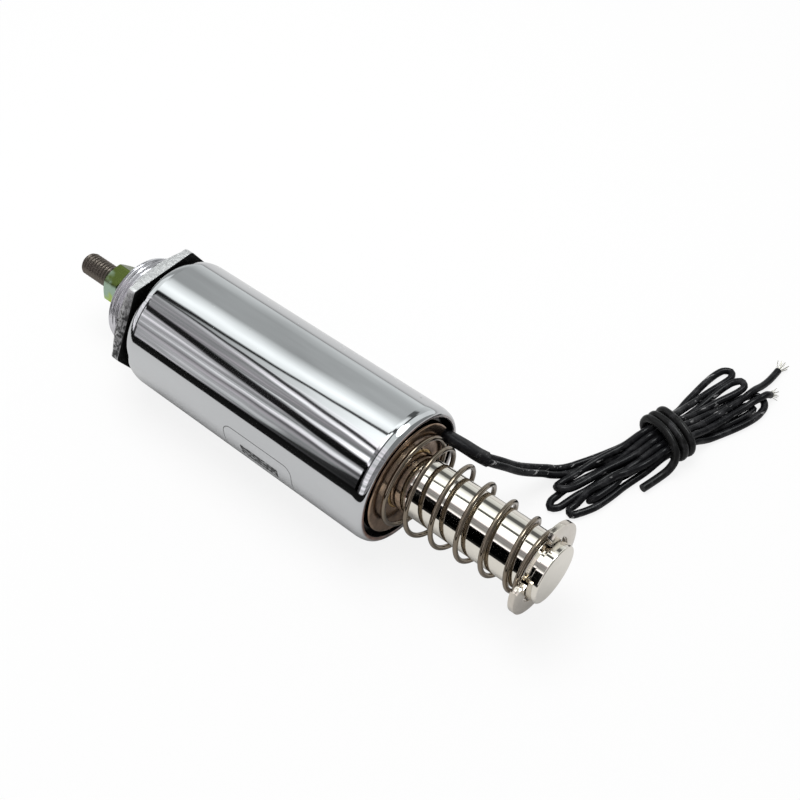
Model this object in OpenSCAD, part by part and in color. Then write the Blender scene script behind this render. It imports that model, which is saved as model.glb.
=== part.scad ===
// Tubular push-pull solenoid.
// The origin is the middle of the can's front face, which seats on the panel.
// +X runs along the plunger axis towards the plunger's head, and +Z is up.
// The can lies on its side, and its two leads lie beside it as a tied hank.

/* [Can] */
// Outside diameter of the can
can_d = 28; // [27:0.5:34]
// Length of the can
can_l = 61.5; // [56:0.5:80]
// Thickness of the can's side wall
can_wall = 1.5; // [0.8:0.1:2]
// Thickness of the can's closed front end
can_front = 2; // [1.2:0.1:3]
// Rounding of the can's two outer edges
can_edge = 0.9; // [0.3:0.1:1.2]

/* [Threaded boss and mounting nut] */
// Major diameter of the boss thread
boss_d = 19.8; // [17:0.1:20.2]
// Depth of the boss thread on the diameter, drawn where the nut is screwed on
boss_thread_depth = 0.45; // [0.35:0.05:0.8]
// How far the boss stands out of the can
boss_l = 10.1; // [8:0.1:16]
// Chamfer at the end of the boss
boss_chamfer = 0.6; // [0.2:0.1:1]
// Mounting nut, across flats
nut_af = 26; // [25:0.5:28]
// Mounting nut, thickness
nut_t = 3; // [2.5:0.1:5]
// Room for the panel between the nut and the can
panel_gap = 1; // [0.5:0.1:3]
// Length of the tapered front band on the nut's flats
nut_band = 1.1; // [0.5:0.1:1.5]
// How far the band tapers inwards
nut_band_in = 0.3; // [0.1:0.05:0.5]

/* [Magnet and coil] */
// Thickness of the core's flange inside the can
flange_t = 3; // [2:0.5:4]
// Where the fixed pole's rim ends, from the front of the can
pole_end = 24; // [18:0.5:26]
// Depth of the conical seat in the pole
cone_depth = 3.2; // [2:0.1:4.5]
// Width of the pole's rim around the seat
pole_rim = 0.55; // [0.4:0.05:1]
// Radius of the flat at the bottom of the seat
cone_flat_r = 3.6; // [3.4:0.1:4]
// Thickness of the residual washer on the seat
residual_t = 0.4; // [0.2:0.1:0.8]
// Wall of the brass guide tube
guide_wall = 0.3; // [0.2:0.05:0.5]
// Thickness of the fibre washer behind the flange
fibre_t = 0.6; // [0.3:0.1:1]
// Wall of the bobbin's barrel
bobbin_wall = 0.8; // [0.5:0.1:1.2]
// Thickness of the bobbin's two flanges
bobbin_flange = 1.2; // [0.8:0.1:2]
// Depth of copper on the bobbin
coil_depth = 3.8; // [2.5:0.1:4.1]
// Thickness of the tape round the coil
tape_t = 0.15; // [0.1:0.05:0.3]

/* [Rear plate] */
// Thickness of the plate's wide inner step
plate_step_t = 2.5; // [1.5:0.1:4]
// Thickness of the plate's raised face
plate_face_t = 1.5; // [1:0.1:2.5]
// Width of the groove between the raised face and the can
plate_groove = 1.1; // [0.6:0.1:1.4]
// Width of the lead notch
notch_w = 5.6; // [4.5:0.1:7]
// Distance of the notch's floor from the axis
notch_r = 9.5; // [9:0.1:9.6]

/* [Plunger and push rod] */
// Diameter of the plunger
plunger_d = 11.5; // [11:0.1:11.8]
// How far the plunger's head stands out of the can at rest
plunger_out = 31.7; // [28:0.1:40]
// Thickness of the head outside the clip groove
head_t = 1.9; // [1.2:0.1:3]
// Rounding of the head's edge
head_edge = 0.3; // [0.1:0.05:0.6]
// Diameter of the clip groove
groove_d = 9; // [8:0.1:9.4]
// Working stroke
stroke = 10; // [4:0.5:12]
// Diameter of the push rod over its thread
rod_d = 5; // [4:0.1:5.2]
// Depth of the rod's thread on the diameter, drawn where a nut is screwed on
rod_thread_depth = 0.5; // [0.4:0.05:0.7]
// How far the rod stands out of the boss at rest
rod_out = 17.4; // [14:0.1:24]
// Length of the rod screwed into the plunger
rod_grip = 12; // [6:0.5:18]
// Chamfer at the rod's tip
rod_chamfer = 0.5; // [0.2:0.1:0.8]
// Rod nuts, across flats
rod_nut_af = 8; // [7:0.5:9]
// Rod nuts, thickness
rod_nut_t = 4; // [2.5:0.1:4.5]

/* [Spring and clip] */
// Wire of the return spring
wire_d = 0.95; // [0.7:0.05:1.1]
// Outer diameter of the spring at the plate
spring_big_d = 18.8; // [17:0.1:19]
// Play between the spring's last coil and the plunger
spring_play = 0.2; // [0.1:0.05:0.8]
// Pitch of the working coils
spring_pitch = 5.1; // [4:0.1:8]
// Closed turns at each end
closed_turns = 0.75; // [0.5:0.25:1]
// Thickness of the retaining clip
clip_t = 1.1; // [0.8:0.1:1.3]
// Outer diameter of the retaining clip
clip_d = 18.3; // [17:0.1:19]
// Width of the clip's mouth
clip_mouth = 7.6; // [6.5:0.1:8]

/* [Leads] */
// Diameter of each lead over its insulation
lead_d = 1.5; // [1.2:0.1:1.7]
// Diameter of the stripped strands
strand_d = 0.9; // [0.6:0.1:1]
// Width of the sleeve round both leads
sleeve_w = 3.4; // [3.2:0.1:3.6]
// Height of the sleeve
sleeve_h = 2.1; // [1.9:0.1:2.4]
// Diameter of the tie's cord
tie_d = 1.7; // [1.2:0.1:2]

/* [Hidden] */
$fn = 96;

eps = 0.02;
thread_fit = 0.02;
press_fit = 0.02;
running_fit = 0.05;
seat_fit = 0.05;

// Can and core
can_r = can_d / 2;
can_in_r = can_r - can_wall;
boss_r = boss_d / 2;
boss_neck_r = boss_r - boss_thread_depth / 2;
nut_x = -panel_gap - nut_t;
flange_x = can_front;
fibre_x = flange_x + flange_t;
rod_r = rod_d / 2;
rod_shank_r = rod_r - rod_thread_depth / 2;
rod_bore_r = rod_shank_r + running_fit;

// Rear plate
plate_x = can_l - plate_face_t - plate_step_t;
plate_face_r = can_in_r - plate_groove;

// Plunger in its guide
plunger_r = plunger_d / 2;
guide_in_r = plunger_r + running_fit;
guide_out_r = guide_in_r + guide_wall;
pole_r = guide_in_r - press_fit;
guide_x = fibre_x + fibre_t;
cone_mouth_r = plunger_r - pole_rim;
seat_x = pole_end - cone_depth;
air_gap = 0.1;
nose_x = seat_x + residual_t + air_gap + stroke;
plunger_end = can_l + plunger_out;
groove_w = clip_t + 3 * seat_fit;
groove_x = plunger_end - head_t - groove_w;
clip_x = groove_x + seat_fit;

// Coil
bobbin_in_r = guide_out_r + press_fit;
bobbin_r = bobbin_in_r + bobbin_wall;
bobbin_x = fibre_x + fibre_t + press_fit;
bobbin_end = plate_x - press_fit;
bobbin_flange_r = can_in_r - 2 * seat_fit;
coil_x = bobbin_x + bobbin_flange + press_fit;
coil_end = bobbin_end - bobbin_flange - press_fit;
coil_in_r = bobbin_r + press_fit;
coil_r = coil_in_r + coil_depth;

// Rod and its nuts
rod_x = -boss_l - rod_out;
rod_end = nose_x + rod_grip;
stop_nut_x = -boss_l - seat_fit - rod_nut_t;
lock_nut_x = stop_nut_x - press_fit - rod_nut_t;

// Clip
clip_r = clip_d / 2;
clip_relief_r = groove_d / 2 + 2;
clip_prong_w = 3.4;
clip_lobe_r = 2.1;
clip_turn = 123;

// Spring
wire_r = wire_d / 2;
spring_small_d = plunger_d + 2 * spring_play + 2 * wire_d;
spring_x0 = can_l + wire_r + seat_fit;
spring_x1 = clip_x - wire_r - seat_fit;
closed_pitch = wire_d + eps;
taper_power = 1.8;
spring_sides = 10;
steps_per_turn = 20;
spring_turn = 318;
end_rise = closed_turns * closed_pitch;
working_turns = (spring_x1 - spring_x0 - 2 * end_rise) / spring_pitch;
spring_turns = working_turns + 2 * closed_turns;

// Leads. The route is the middle line of the pair, and its points are chosen by hand.
floor_z = -can_r;
lead_r = lead_d / 2;
lead_step = lead_r + 0.01;
sleeve_route = [
    [can_l - 4, 10.8, 1.9],
    [can_l - 1.5, 10.8, 1.9],
    [can_l + 1, 10.9, 1.8],
    [can_l + 3.5, 11.4, 1.2],
    [can_l + 6, 12.2, 0],
    [can_l + 7.5, 13.2, -1.2]
];
lead_route = [
    [can_l + 7.5, 13.2, -1.2],
    [can_l + 9.3, 15.8, -3.6],
    [can_l + 11, 19, -6.8],
    [can_l + 12.8, 22.8, -9.6],
    [can_l + 14.8, 26.6, -11.8],
    [can_l + 17, 30.4, -12.9],
    [can_l + 20, 35.4, -12.9]
];
mouth_dir = lead_route[1] - sleeve_route[len(sleeve_route) - 2];
sleeve_side = [0, -0.7, 0.7];
pair_side = [0.86, -0.5, 0];
tail_a_route = [[94.6, 67, -11.4], [96, 72, -11.6], [96.4, 76, -12], [96.3, 80.4, -12.6]];
strand_a_route = [[96.3, 80.4, -12.6], [96.1, 82.8, -12.9]];
tail_b_route = [[96.2, 65, -11], [97.6, 69, -11.8], [98.6, 73, -12.4]];
strand_b_route = [[98.6, 73, -12.4], [98.9, 75, -12.6]];

// Hank, in its own frame: x runs along it and y across it, from the middle of the tie.
// Each end is a circle, as [x, y, radius].
hank_at = [88.5, 47.2];
hank_turn = 74.3;
hank_left = [-25.4, 0.5, 4.4];
hank_waist_r = 4.2;
hank_right = [19.4, 1.3, 6.3];
hank_h = 5.4;
tie_w = 3 * tie_d;
tie_lift = tie_d + eps;
tie_route = [[89.3, 43.6, -12.2], [89.9, 40.4, -12.9], [90.2, 37.6, -13.1], [90.3, 35, -13.1]];

// ---------------------------------------------------------------- shared shapes

// A solid of revolution about the X axis, from points written as [x, radius].
module turned(profile, sides = $fn) {
    rotate([90, 0, 90])
        rotate_extrude($fn = sides)
            polygon([for (p = profile) [p[1], p[0]]]);
}

// A plain bush along X, from x0 to x1.
module bush(x0, x1, outer, inner) {
    turned([[x0, inner], [x1, inner], [x1, outer], [x0, outer]]);
}

// A shape that is drawn across X, extruded from x0 by a length t.
module across(x0, t) {
    translate([x0, 0, 0])
        rotate([90, 0, 90])
            linear_extrude(t)
                children();
}

// Points of a quarter round between two edges, as [x, radius].
function corner(cx, cr, r, a0, a1, n = 6) =
    [for (i = [0 : n]) let (a = a0 + (a1 - a0) * i / n) [cx + r * cos(a), cr + r * sin(a)]];

function unit(v) = v / norm(v);

// The direction of a route at its point i. Two tubes that meet share a direction there.
function heading(route, i, first = undef, last = undef) =
    i == 0 && first != undef ? unit(first)
    : i == len(route) - 1 && last != undef ? unit(last)
    : unit(route[min(i + 1, len(route) - 1)] - route[max(i - 1, 0)]);

// The part of a vector that is square to a direction.
function square_to(v, dir) = unit(v - (v * dir) * dir);

// A closed tube of oval section along a route. The section's wide axis turns
// from side0 at the start to side1 at the end, and shift moves the tube along it.
module tube(route, w, h, side0, side1, shift = 0, sides = 8, first = undef, last = undef) {
    n = len(route);
    rings = [for (i = [0 : n - 1])
        let (dir = heading(route, i, first, last),
             t = i / (n - 1),
             a = square_to(side0 * (1 - t) + side1 * t, dir),
             b = cross(dir, a))
        for (k = [0 : sides - 1])
            let (turn = 360 * k / sides)
            route[i] + a * (shift + w / 2 * cos(turn)) + b * h / 2 * sin(turn)];
    walls = [for (i = [0 : n - 2], k = [0 : sides - 1])
        let (k2 = (k + 1) % sides)
        [i * sides + k, (i + 1) * sides + k, (i + 1) * sides + k2, i * sides + k2]];
    start = [for (k = [0 : sides - 1]) k];
    end = [for (k = [sides - 1 : -1 : 0]) (n - 1) * sides + k];
    polyhedron(points = rings, faces = concat([start], walls, [end]), convexity = 6);
}

// A hexagon nut along X, chamfered at one or both ends.
module hex_nut(x0, t, af, bore_r, back_chamfer = true) {
    corner_r = af / 2 / cos(30);
    cut = (corner_r - af / 2) * tan(30);
    difference() {
        intersection() {
            across(x0, t) rotate(90) circle(r = corner_r, $fn = 6);
            turned([
                [x0, 0], [x0, af / 2], [x0 + cut, corner_r],
                [x0 + t - (back_chamfer ? cut : 0), corner_r],
                [x0 + t, back_chamfer ? af / 2 : corner_r], [x0 + t, 0]
            ]);
        }
        bush(x0 - 1, x0 + t + 1, bore_r, 0);
    }
}

// ---------------------------------------------------------------- fixed pieces

module can_shell() {
    lip = 0.25;
    color("silver")
        turned(concat(
            [[0, boss_neck_r + press_fit], [can_front, boss_neck_r + press_fit],
             [can_front, can_in_r],
             [can_l - lip, can_in_r], [can_l, can_in_r + lip]],
            corner(can_l - can_edge, can_r - can_edge, can_edge, 0, 90),
            corner(can_edge, can_r - can_edge, can_edge, 90, 180)
        ));
}

// Threaded boss, flange and fixed pole in one turned piece, bored for the rod.
// The boss is drawn at its thread's full diameter ahead of the nut.
module front_core() {
    color("lightsteelblue")
        turned([
            [-boss_l, rod_bore_r], [-boss_l, boss_r - boss_chamfer],
            [-boss_l + boss_chamfer, boss_r], [nut_x, boss_r], [nut_x, boss_neck_r],
            [flange_x + press_fit, boss_neck_r], [flange_x + press_fit, can_in_r - press_fit],
            [fibre_x, can_in_r - press_fit],
            [fibre_x, pole_r], [pole_end, pole_r], [pole_end, cone_mouth_r],
            [seat_x, cone_flat_r], [seat_x, rod_bore_r]
        ]);
}

// Hexagon nut with a tapered band round its front and a 30 degree chamfer.
module mounting_nut() {
    x0 = nut_x;
    half = nut_af / 2;
    corner_r = half / cos(30);
    tilt = atan(nut_band_in / nut_band);
    color("gainsboro")
        difference() {
            intersection() {
                across(x0, nut_t) circle(r = corner_r, $fn = 6);
                turned([
                    [x0, 0], [x0, half], [x0 + (corner_r - half) * tan(30), corner_r],
                    [x0 + nut_t, corner_r], [x0 + nut_t, 0]
                ]);
            }
            for (i = [0 : 5])
                rotate([60 * i, 0, 0])
                    translate([x0 + nut_band, -half, half])
                        rotate([0, -tilt, 0])
                            translate([-2 * nut_band, 0, 0])
                                cube([2 * nut_band, nut_af, nut_band]);
            bush(x0 - 1, 0, boss_neck_r + thread_fit, 0);
        }
}

// Thin non-magnetic ring that keeps the plunger from sticking to the pole.
module residual_washer() {
    color("gold")
        bush(seat_x + eps, seat_x + residual_t, cone_flat_r - seat_fit, rod_bore_r + seat_fit);
}

module guide_tube() {
    color("goldenrod")
        bush(guide_x, can_l - 0.2, guide_out_r, guide_in_r);
}

module fibre_washer() {
    color("sienna")
        bush(fibre_x + eps, fibre_x + fibre_t, bobbin_flange_r, pole_r + press_fit);
}

// Barrel with a flange at each end. The rear flange has a slot for the leads.
module bobbin() {
    color("ivory")
        difference() {
            turned([
                [bobbin_x, bobbin_in_r], [bobbin_x, bobbin_flange_r],
                [bobbin_x + bobbin_flange, bobbin_flange_r], [bobbin_x + bobbin_flange, bobbin_r],
                [bobbin_end - bobbin_flange, bobbin_r], [bobbin_end - bobbin_flange, bobbin_flange_r],
                [bobbin_end, bobbin_flange_r], [bobbin_end, bobbin_in_r]
            ]);
            lead_notch(bobbin_end - bobbin_flange - 1, bobbin_flange + 2);
        }
}

module coil_winding() {
    color("chocolate")
        bush(coil_x, coil_end, coil_r, coil_in_r);
}

module coil_tape() {
    color("khaki")
        bush(coil_x, coil_end, coil_r + press_fit + tape_t, coil_r + press_fit);
}

// The slot that the sleeve comes through, open to the outer edge.
module lead_notch(x0, t) {
    angle = atan2(sleeve_route[0][2], sleeve_route[0][1]);
    rotate([angle, 0, 0])
        translate([x0, notch_r, -notch_w / 2])
            cube([t, can_r, notch_w]);
}

module rear_plate() {
    color("silver")
        difference() {
            turned([
                [plate_x, guide_out_r + press_fit], [plate_x, can_in_r - press_fit],
                [plate_x + plate_step_t, can_in_r - press_fit],
                [plate_x + plate_step_t, plate_face_r], [can_l - 0.2, plate_face_r],
                [can_l, plate_face_r - 0.2], [can_l, guide_out_r + press_fit]
            ]);
            lead_notch(plate_x - 1, plate_step_t + plate_face_t + 2);
        }
}

// ---------------------------------------------------------------- moving pieces

// Conical nose, tapped hole for the rod, clip groove and head.
module plunger() {
    tail = groove_x + groove_w;
    color("gainsboro")
        turned(concat(
            [[nose_x, rod_shank_r + thread_fit], [nose_x, cone_flat_r],
             [nose_x + cone_depth, cone_mouth_r], [nose_x + cone_depth, plunger_r],
             [groove_x, plunger_r], [groove_x, groove_d / 2],
             [tail, groove_d / 2], [tail, plunger_r]],
            corner(plunger_end - head_edge, plunger_r - head_edge, head_edge, 90, 0),
            [[plunger_end, 0], [rod_end + 0.5, 0], [rod_end + 0.5, rod_shank_r + thread_fit]]
        ));
}

// The rod is drawn at its thread's full diameter ahead of the nuts.
module push_rod() {
    color("dimgray")
        turned([
            [rod_x, 0], [rod_x, rod_r - rod_chamfer], [rod_x + rod_chamfer, rod_r],
            [lock_nut_x, rod_r], [lock_nut_x, rod_shank_r], [rod_end, rod_shank_r], [rod_end, 0]
        ]);
}

module stop_nut() {
    color("yellowgreen")
        rotate([-14.5, 0, 0]) hex_nut(stop_nut_x, rod_nut_t, rod_nut_af, rod_shank_r + thread_fit);
}

module lock_nut() {
    color("yellowgreen")
        rotate([-14.5, 0, 0]) hex_nut(lock_nut_x, rod_nut_t, rod_nut_af, rod_shank_r + thread_fit);
}

// Outline of the clip, with its mouth towards +X: a ring relieved inside,
// three prongs that grip the groove, and rounded lobes beside the mouth.
module clip_outline() {
    grip_r = groove_d / 2 + eps;
    difference() {
        union() {
            difference() {
                circle(r = clip_r);
                circle(r = clip_relief_r);
            }
            intersection() {
                circle(r = clip_r);
                union() {
                    translate([-clip_r, -clip_prong_w / 2]) square([clip_r, clip_prong_w]);
                    for (s = [-1, 1])
                        rotate(s * 62)
                            translate([0, -clip_prong_w / 2])
                                square([clip_r, clip_prong_w]);
                }
            }
        }
        circle(r = grip_r);
        translate([0, -clip_mouth / 2]) square([clip_r + 1, clip_mouth]);
        // what lies outside the rounded lobes at the mouth
        for (s = [-1, 1])
            mirror([0, s < 0 ? 1 : 0])
                difference() {
                    translate([lobe_x(), clip_mouth / 2 - eps])
                        square([clip_r, clip_lobe_r]);
                    translate([lobe_x(), clip_mouth / 2 + clip_lobe_r])
                        circle(r = clip_lobe_r);
                }
    }
}

// Where a lobe's round end is centred so that it also meets the clip's outer circle.
function lobe_x() =
    sqrt(pow(clip_r - clip_lobe_r, 2) - pow(clip_mouth / 2 + clip_lobe_r, 2));

module e_clip() {
    color("gainsboro")
        across(clip_x, clip_t)
            rotate(clip_turn)
                clip_outline();
}

// How far round and how far along the spring's wire has gone, with closed ends.
function spring_x(turn) =
    turn < closed_turns ? spring_x0 + turn * closed_pitch
    : turn > spring_turns - closed_turns ? spring_x1 - (spring_turns - turn) * closed_pitch
    : spring_x0 + end_rise + (turn - closed_turns) * spring_pitch;

// The coil's middle radius falls off smoothly from the plate to the clip.
function spring_r(x) =
    let (u = (x - spring_x0) / (spring_x1 - spring_x0))
    spring_small_d / 2 - wire_r
        + (spring_big_d - spring_small_d) / 2 * pow(max(0, 1 - u), taper_power);

module return_spring() {
    steps = ceil(spring_turns * steps_per_turn);
    line = [for (i = [0 : steps])
        let (turn = spring_turns * i / steps,
             x = spring_x(turn),
             r = spring_r(x),
             a = spring_turn + 360 * turn)
        [x, r * cos(a), r * sin(a)]];
    rings = [for (i = [0 : steps])
        let (dir = heading(line, i),
             a = square_to([1, 0, 0], dir),
             b = cross(dir, a))
        for (k = [0 : spring_sides - 1])
            let (turn = 360 * k / spring_sides)
            line[i] + wire_r * (a * cos(turn) + b * sin(turn))];
    walls = [for (i = [0 : steps - 1], k = [0 : spring_sides - 1])
        let (k2 = (k + 1) % spring_sides)
        [i * spring_sides + k, (i + 1) * spring_sides + k,
         (i + 1) * spring_sides + k2, i * spring_sides + k2]];
    start = [for (k = [0 : spring_sides - 1]) k];
    end = [for (k = [spring_sides - 1 : -1 : 0]) steps * spring_sides + k];
    color("silver")
        polyhedron(points = rings, faces = concat([start], walls, [end]), convexity = 20);
}

// ---------------------------------------------------------------- leads

module lead_sleeve() {
    color("#181818")
        tube(sleeve_route, sleeve_w, sleeve_h, sleeve_side, pair_side, sides = 12,
            last = mouth_dir);
}

module lead(side, tail, strand) {
    tube(lead_route, lead_d, lead_d, pair_side, pair_side, shift = side * lead_step,
        first = mouth_dir);
    tube(tail, lead_d, lead_d, pair_side, pair_side, last = strand[1] - strand[0]);
}

module lead_a() {
    color("#101010") lead(1, tail_a_route, strand_a_route);
}

module lead_b() {
    color("#202020") lead(-1, tail_b_route, strand_b_route);
}

// Points of an arc of a circle that is given as [x, y, radius].
function arc_points(c, a0, a1, n = 12) =
    [for (i = [0 : n]) let (a = a0 + (a1 - a0) * i / n)
        [c[0] + c[2] * cos(a), c[1] + c[2] * sin(a)]];

// Draws its children in the hank's own frame, standing on the floor.
module on_hank() {
    translate([hank_at[0], hank_at[1], floor_z])
        rotate(hank_turn)
            children();
}

// Outer shape of the folded leads, drawn in at the tie.
module lead_hank() {
    color("#181818")
        on_hank()
            difference() {
                linear_extrude(hank_h)
                    polygon(concat(
                        arc_points(hank_left, 90, 270),
                        [[-tie_w / 2, -hank_waist_r], [tie_w / 2, -hank_waist_r]],
                        arc_points(hank_right, -90, 90),
                        [[tie_w / 2, hank_waist_r], [-tie_w / 2, hank_waist_r]]
                    ));
                translate([-tie_w / 2 - eps, -2 * hank_waist_r, -1])
                    cube([tie_w + 2 * eps, 4 * hank_waist_r, 1 + tie_lift]);
            }
}

// Three turns of cord round the hank's waist, side by side, and a loose tail.
module hank_tie() {
    in_y = hank_waist_r + eps;
    color("#101010") {
        on_hank()
            for (i = [-1 : 1])
                translate([i * tie_d - tie_d / 2, 0, 0])
                    rotate([90, 0, 90])
                        linear_extrude(tie_d)
                            difference() {
                                rounded_box(in_y + tie_d, 0, hank_h + tie_d + eps, tie_d);
                                rounded_box(in_y, tie_d, hank_h + eps, eps);
                            }
        tube(tie_route, tie_d, tie_d, pair_side, pair_side);
    }
}

// A box from -half to half and from low to high, with rounded corners.
module rounded_box(half, low, high, r) {
    translate([-half + r, low]) square([2 * (half - r), high - low]);
    translate([-half, low + r]) square([2 * half, high - low - 2 * r]);
    for (x = [-half + r, half - r], y = [low + r, high - r])
        translate([x, y]) circle(r = r);
}

module strand_end_a() {
    color("silver") tube(strand_a_route, strand_d, strand_d, pair_side, pair_side);
}

module strand_end_b() {
    color("silver") tube(strand_b_route, strand_d, strand_d, pair_side, pair_side);
}

can_shell();
front_core();
mounting_nut();
residual_washer();
guide_tube();
fibre_washer();
bobbin();
coil_winding();
coil_tape();
rear_plate();
plunger();
push_rod();
stop_nut();
lock_nut();
e_clip();
return_spring();
lead_sleeve();
lead_a();
lead_b();
lead_hank();
hank_tie();
strand_end_a();
strand_end_b();
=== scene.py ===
"""Looks of a tubular push-pull solenoid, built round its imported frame.

The frame is in metres: the can's front face is at X = 0, +X runs to the plunger's head and
+Z is up. The sizes below are in millimetres, as a maker's drawing gives them.
"""

import logging
import math
from dataclasses import dataclass, field
from enum import Enum
from typing import Callable, Iterable, Sequence

import bmesh
import bpy
import numpy as np
from mathutils import Matrix, Vector


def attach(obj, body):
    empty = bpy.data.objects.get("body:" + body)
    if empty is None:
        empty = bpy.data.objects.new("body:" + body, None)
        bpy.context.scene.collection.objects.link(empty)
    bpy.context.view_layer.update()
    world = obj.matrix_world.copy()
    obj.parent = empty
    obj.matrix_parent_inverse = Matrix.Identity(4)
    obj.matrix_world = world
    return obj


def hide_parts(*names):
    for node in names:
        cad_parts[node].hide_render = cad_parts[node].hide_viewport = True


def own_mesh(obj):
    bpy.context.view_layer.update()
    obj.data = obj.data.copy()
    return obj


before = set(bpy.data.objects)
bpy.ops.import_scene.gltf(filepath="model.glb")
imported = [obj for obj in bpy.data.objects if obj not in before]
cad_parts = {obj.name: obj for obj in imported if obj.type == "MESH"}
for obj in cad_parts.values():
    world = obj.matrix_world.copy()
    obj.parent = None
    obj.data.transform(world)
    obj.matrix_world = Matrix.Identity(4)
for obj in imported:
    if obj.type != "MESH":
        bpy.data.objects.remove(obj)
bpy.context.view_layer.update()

log = logging.getLogger("solenoid")

MM = 0.001
FLOOR = -14.0
Colour = tuple[float, float, float]
Point = tuple[float, float, float]


class Body(Enum):
    """The two rigid bodies of the frame."""

    HOUSING = "housing"
    ARMATURE = "armature"


# ---------------------------------------------------------------- node trees


class Value:
    """A number in a node tree, whose arithmetic adds Math nodes."""

    def __init__(self, graph: "Graph", socket: bpy.types.NodeSocket) -> None:
        """Keeps the tree and the socket that carries the number."""
        self.graph, self.socket = graph, socket

    def _do(self, operation: str, *terms: "Value | float", clamp: bool = False) -> "Value":
        """Adds one Math node over the given terms."""
        settings = {"operation": operation, "use_clamp": clamp}
        return self.graph.out("ShaderNodeMath", settings, dict(enumerate(terms)))

    def __add__(self, other: "Value | float") -> "Value":
        """Sum."""
        return self._do("ADD", self, other)

    def __radd__(self, other: float) -> "Value":
        """Sum with a plain number first."""
        return self._do("ADD", other, self)

    def __sub__(self, other: "Value | float") -> "Value":
        """Difference."""
        return self._do("SUBTRACT", self, other)

    def __rsub__(self, other: float) -> "Value":
        """Difference from a plain number."""
        return self._do("SUBTRACT", other, self)

    def __mul__(self, other: "Value | float") -> "Value":
        """Product."""
        return self._do("MULTIPLY", self, other)

    def __rmul__(self, other: float) -> "Value":
        """Product with a plain number first."""
        return self._do("MULTIPLY", other, self)

    def __truediv__(self, other: "Value | float") -> "Value":
        """Quotient."""
        return self._do("DIVIDE", self, other)

    def __rtruediv__(self, other: float) -> "Value":
        """Quotient of a plain number."""
        return self._do("DIVIDE", other, self)

    def __pow__(self, other: "Value | float") -> "Value":
        """Power."""
        return self._do("POWER", self, other)

    def __neg__(self) -> "Value":
        """The number with its sign turned."""
        return self._do("MULTIPLY", self, -1.0)

    def call(self, operation: str, *terms: "Value | float") -> "Value":
        """Any other Math operation, such as SINE or MAXIMUM."""
        return self._do(operation, self, *terms)

    def clamped(self) -> "Value":
        """The number held between 0 and 1."""
        return self._do("ADD", self, 0.0, clamp=True)

    def over(self, edge: "Value | float", soft: float) -> "Value":
        """1 above an edge and 0 below it, with a ramp of the given width."""
        return ((self - edge) / soft + 0.5).clamped()


class Graph:
    """A node tree that is written in expressions."""

    def __init__(self, tree: bpy.types.NodeTree) -> None:
        """Takes an empty tree."""
        self.tree = tree

    def node(self, kind: str, settings: dict | None = None, sockets: dict | None = None) -> bpy.types.Node:
        """Adds a node.

        Args:
            kind: The node's type.
            settings: Its properties, and "stops" for a colour ramp.
            sockets: Values or links, by the socket's name or number.

        Returns:
            The node.
        """
        made = self.tree.nodes.new(kind)
        for key, value in (settings or {}).items():
            if key != "stops":
                setattr(made, key, value)
                continue
            for i, (at, shade) in enumerate(value):
                stop = made.color_ramp.elements[i] if i < 2 else made.color_ramp.elements.new(at)
                stop.position, stop.color = at, (*shade, 1.0)
        for key, value in (sockets or {}).items():
            if isinstance(value, Value):
                self.tree.links.new(value.socket, made.inputs[key])
            else:
                made.inputs[key].default_value = value
        return made

    def out(self, kind: str, settings: dict | None = None, sockets: dict | None = None, at: int | str = 0) -> Value:
        """Adds a node and wraps one of its outputs."""
        return Value(self, self.node(kind, settings, sockets).outputs[at])

    def mix(self, factor: Value | float, low: Value | Colour, high: Value | Colour) -> Value:
        """Mixes two colours."""
        ends = [c if isinstance(c, Value) else (*c, 1.0) for c in (low, high)]
        return self.out("ShaderNodeMix", {"data_type": "RGBA"}, {0: factor, 6: ends[0], 7: ends[1]}, 2)

    def axes(self, vector: Value) -> tuple[Value, Value, Value]:
        """Takes a vector apart."""
        parts = self.node("ShaderNodeSeparateXYZ", sockets={0: vector})
        return Value(self, parts.outputs[0]), Value(self, parts.outputs[1]), Value(self, parts.outputs[2])

    def joined(self, x: Value | float, y: Value | float, z: Value | float) -> Value:
        """Puts a vector together."""
        return self.out("ShaderNodeCombineXYZ", sockets={0: x, 1: y, 2: z})

    def noise(self, vector: Value, scale: float, detail: float = 2.0, rough: float = 0.5) -> Value:
        """Smooth noise from 0 to 1."""
        sockets = {"Vector": vector, "Scale": scale, "Detail": detail, "Roughness": rough}
        return self.out("ShaderNodeTexNoise", None, sockets)

    def bump(self, height: Value, depth: float, normal: Value | None = None) -> Value:
        """A normal that is tilted by a height, whose full range is depth millimetres."""
        sockets: dict = {"Height": height, "Distance": depth * MM, "Strength": 1.0}
        if normal is not None:
            sockets["Normal"] = normal
        return self.out("ShaderNodeBump", None, sockets)


# ---------------------------------------------------------------- finishes


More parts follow.
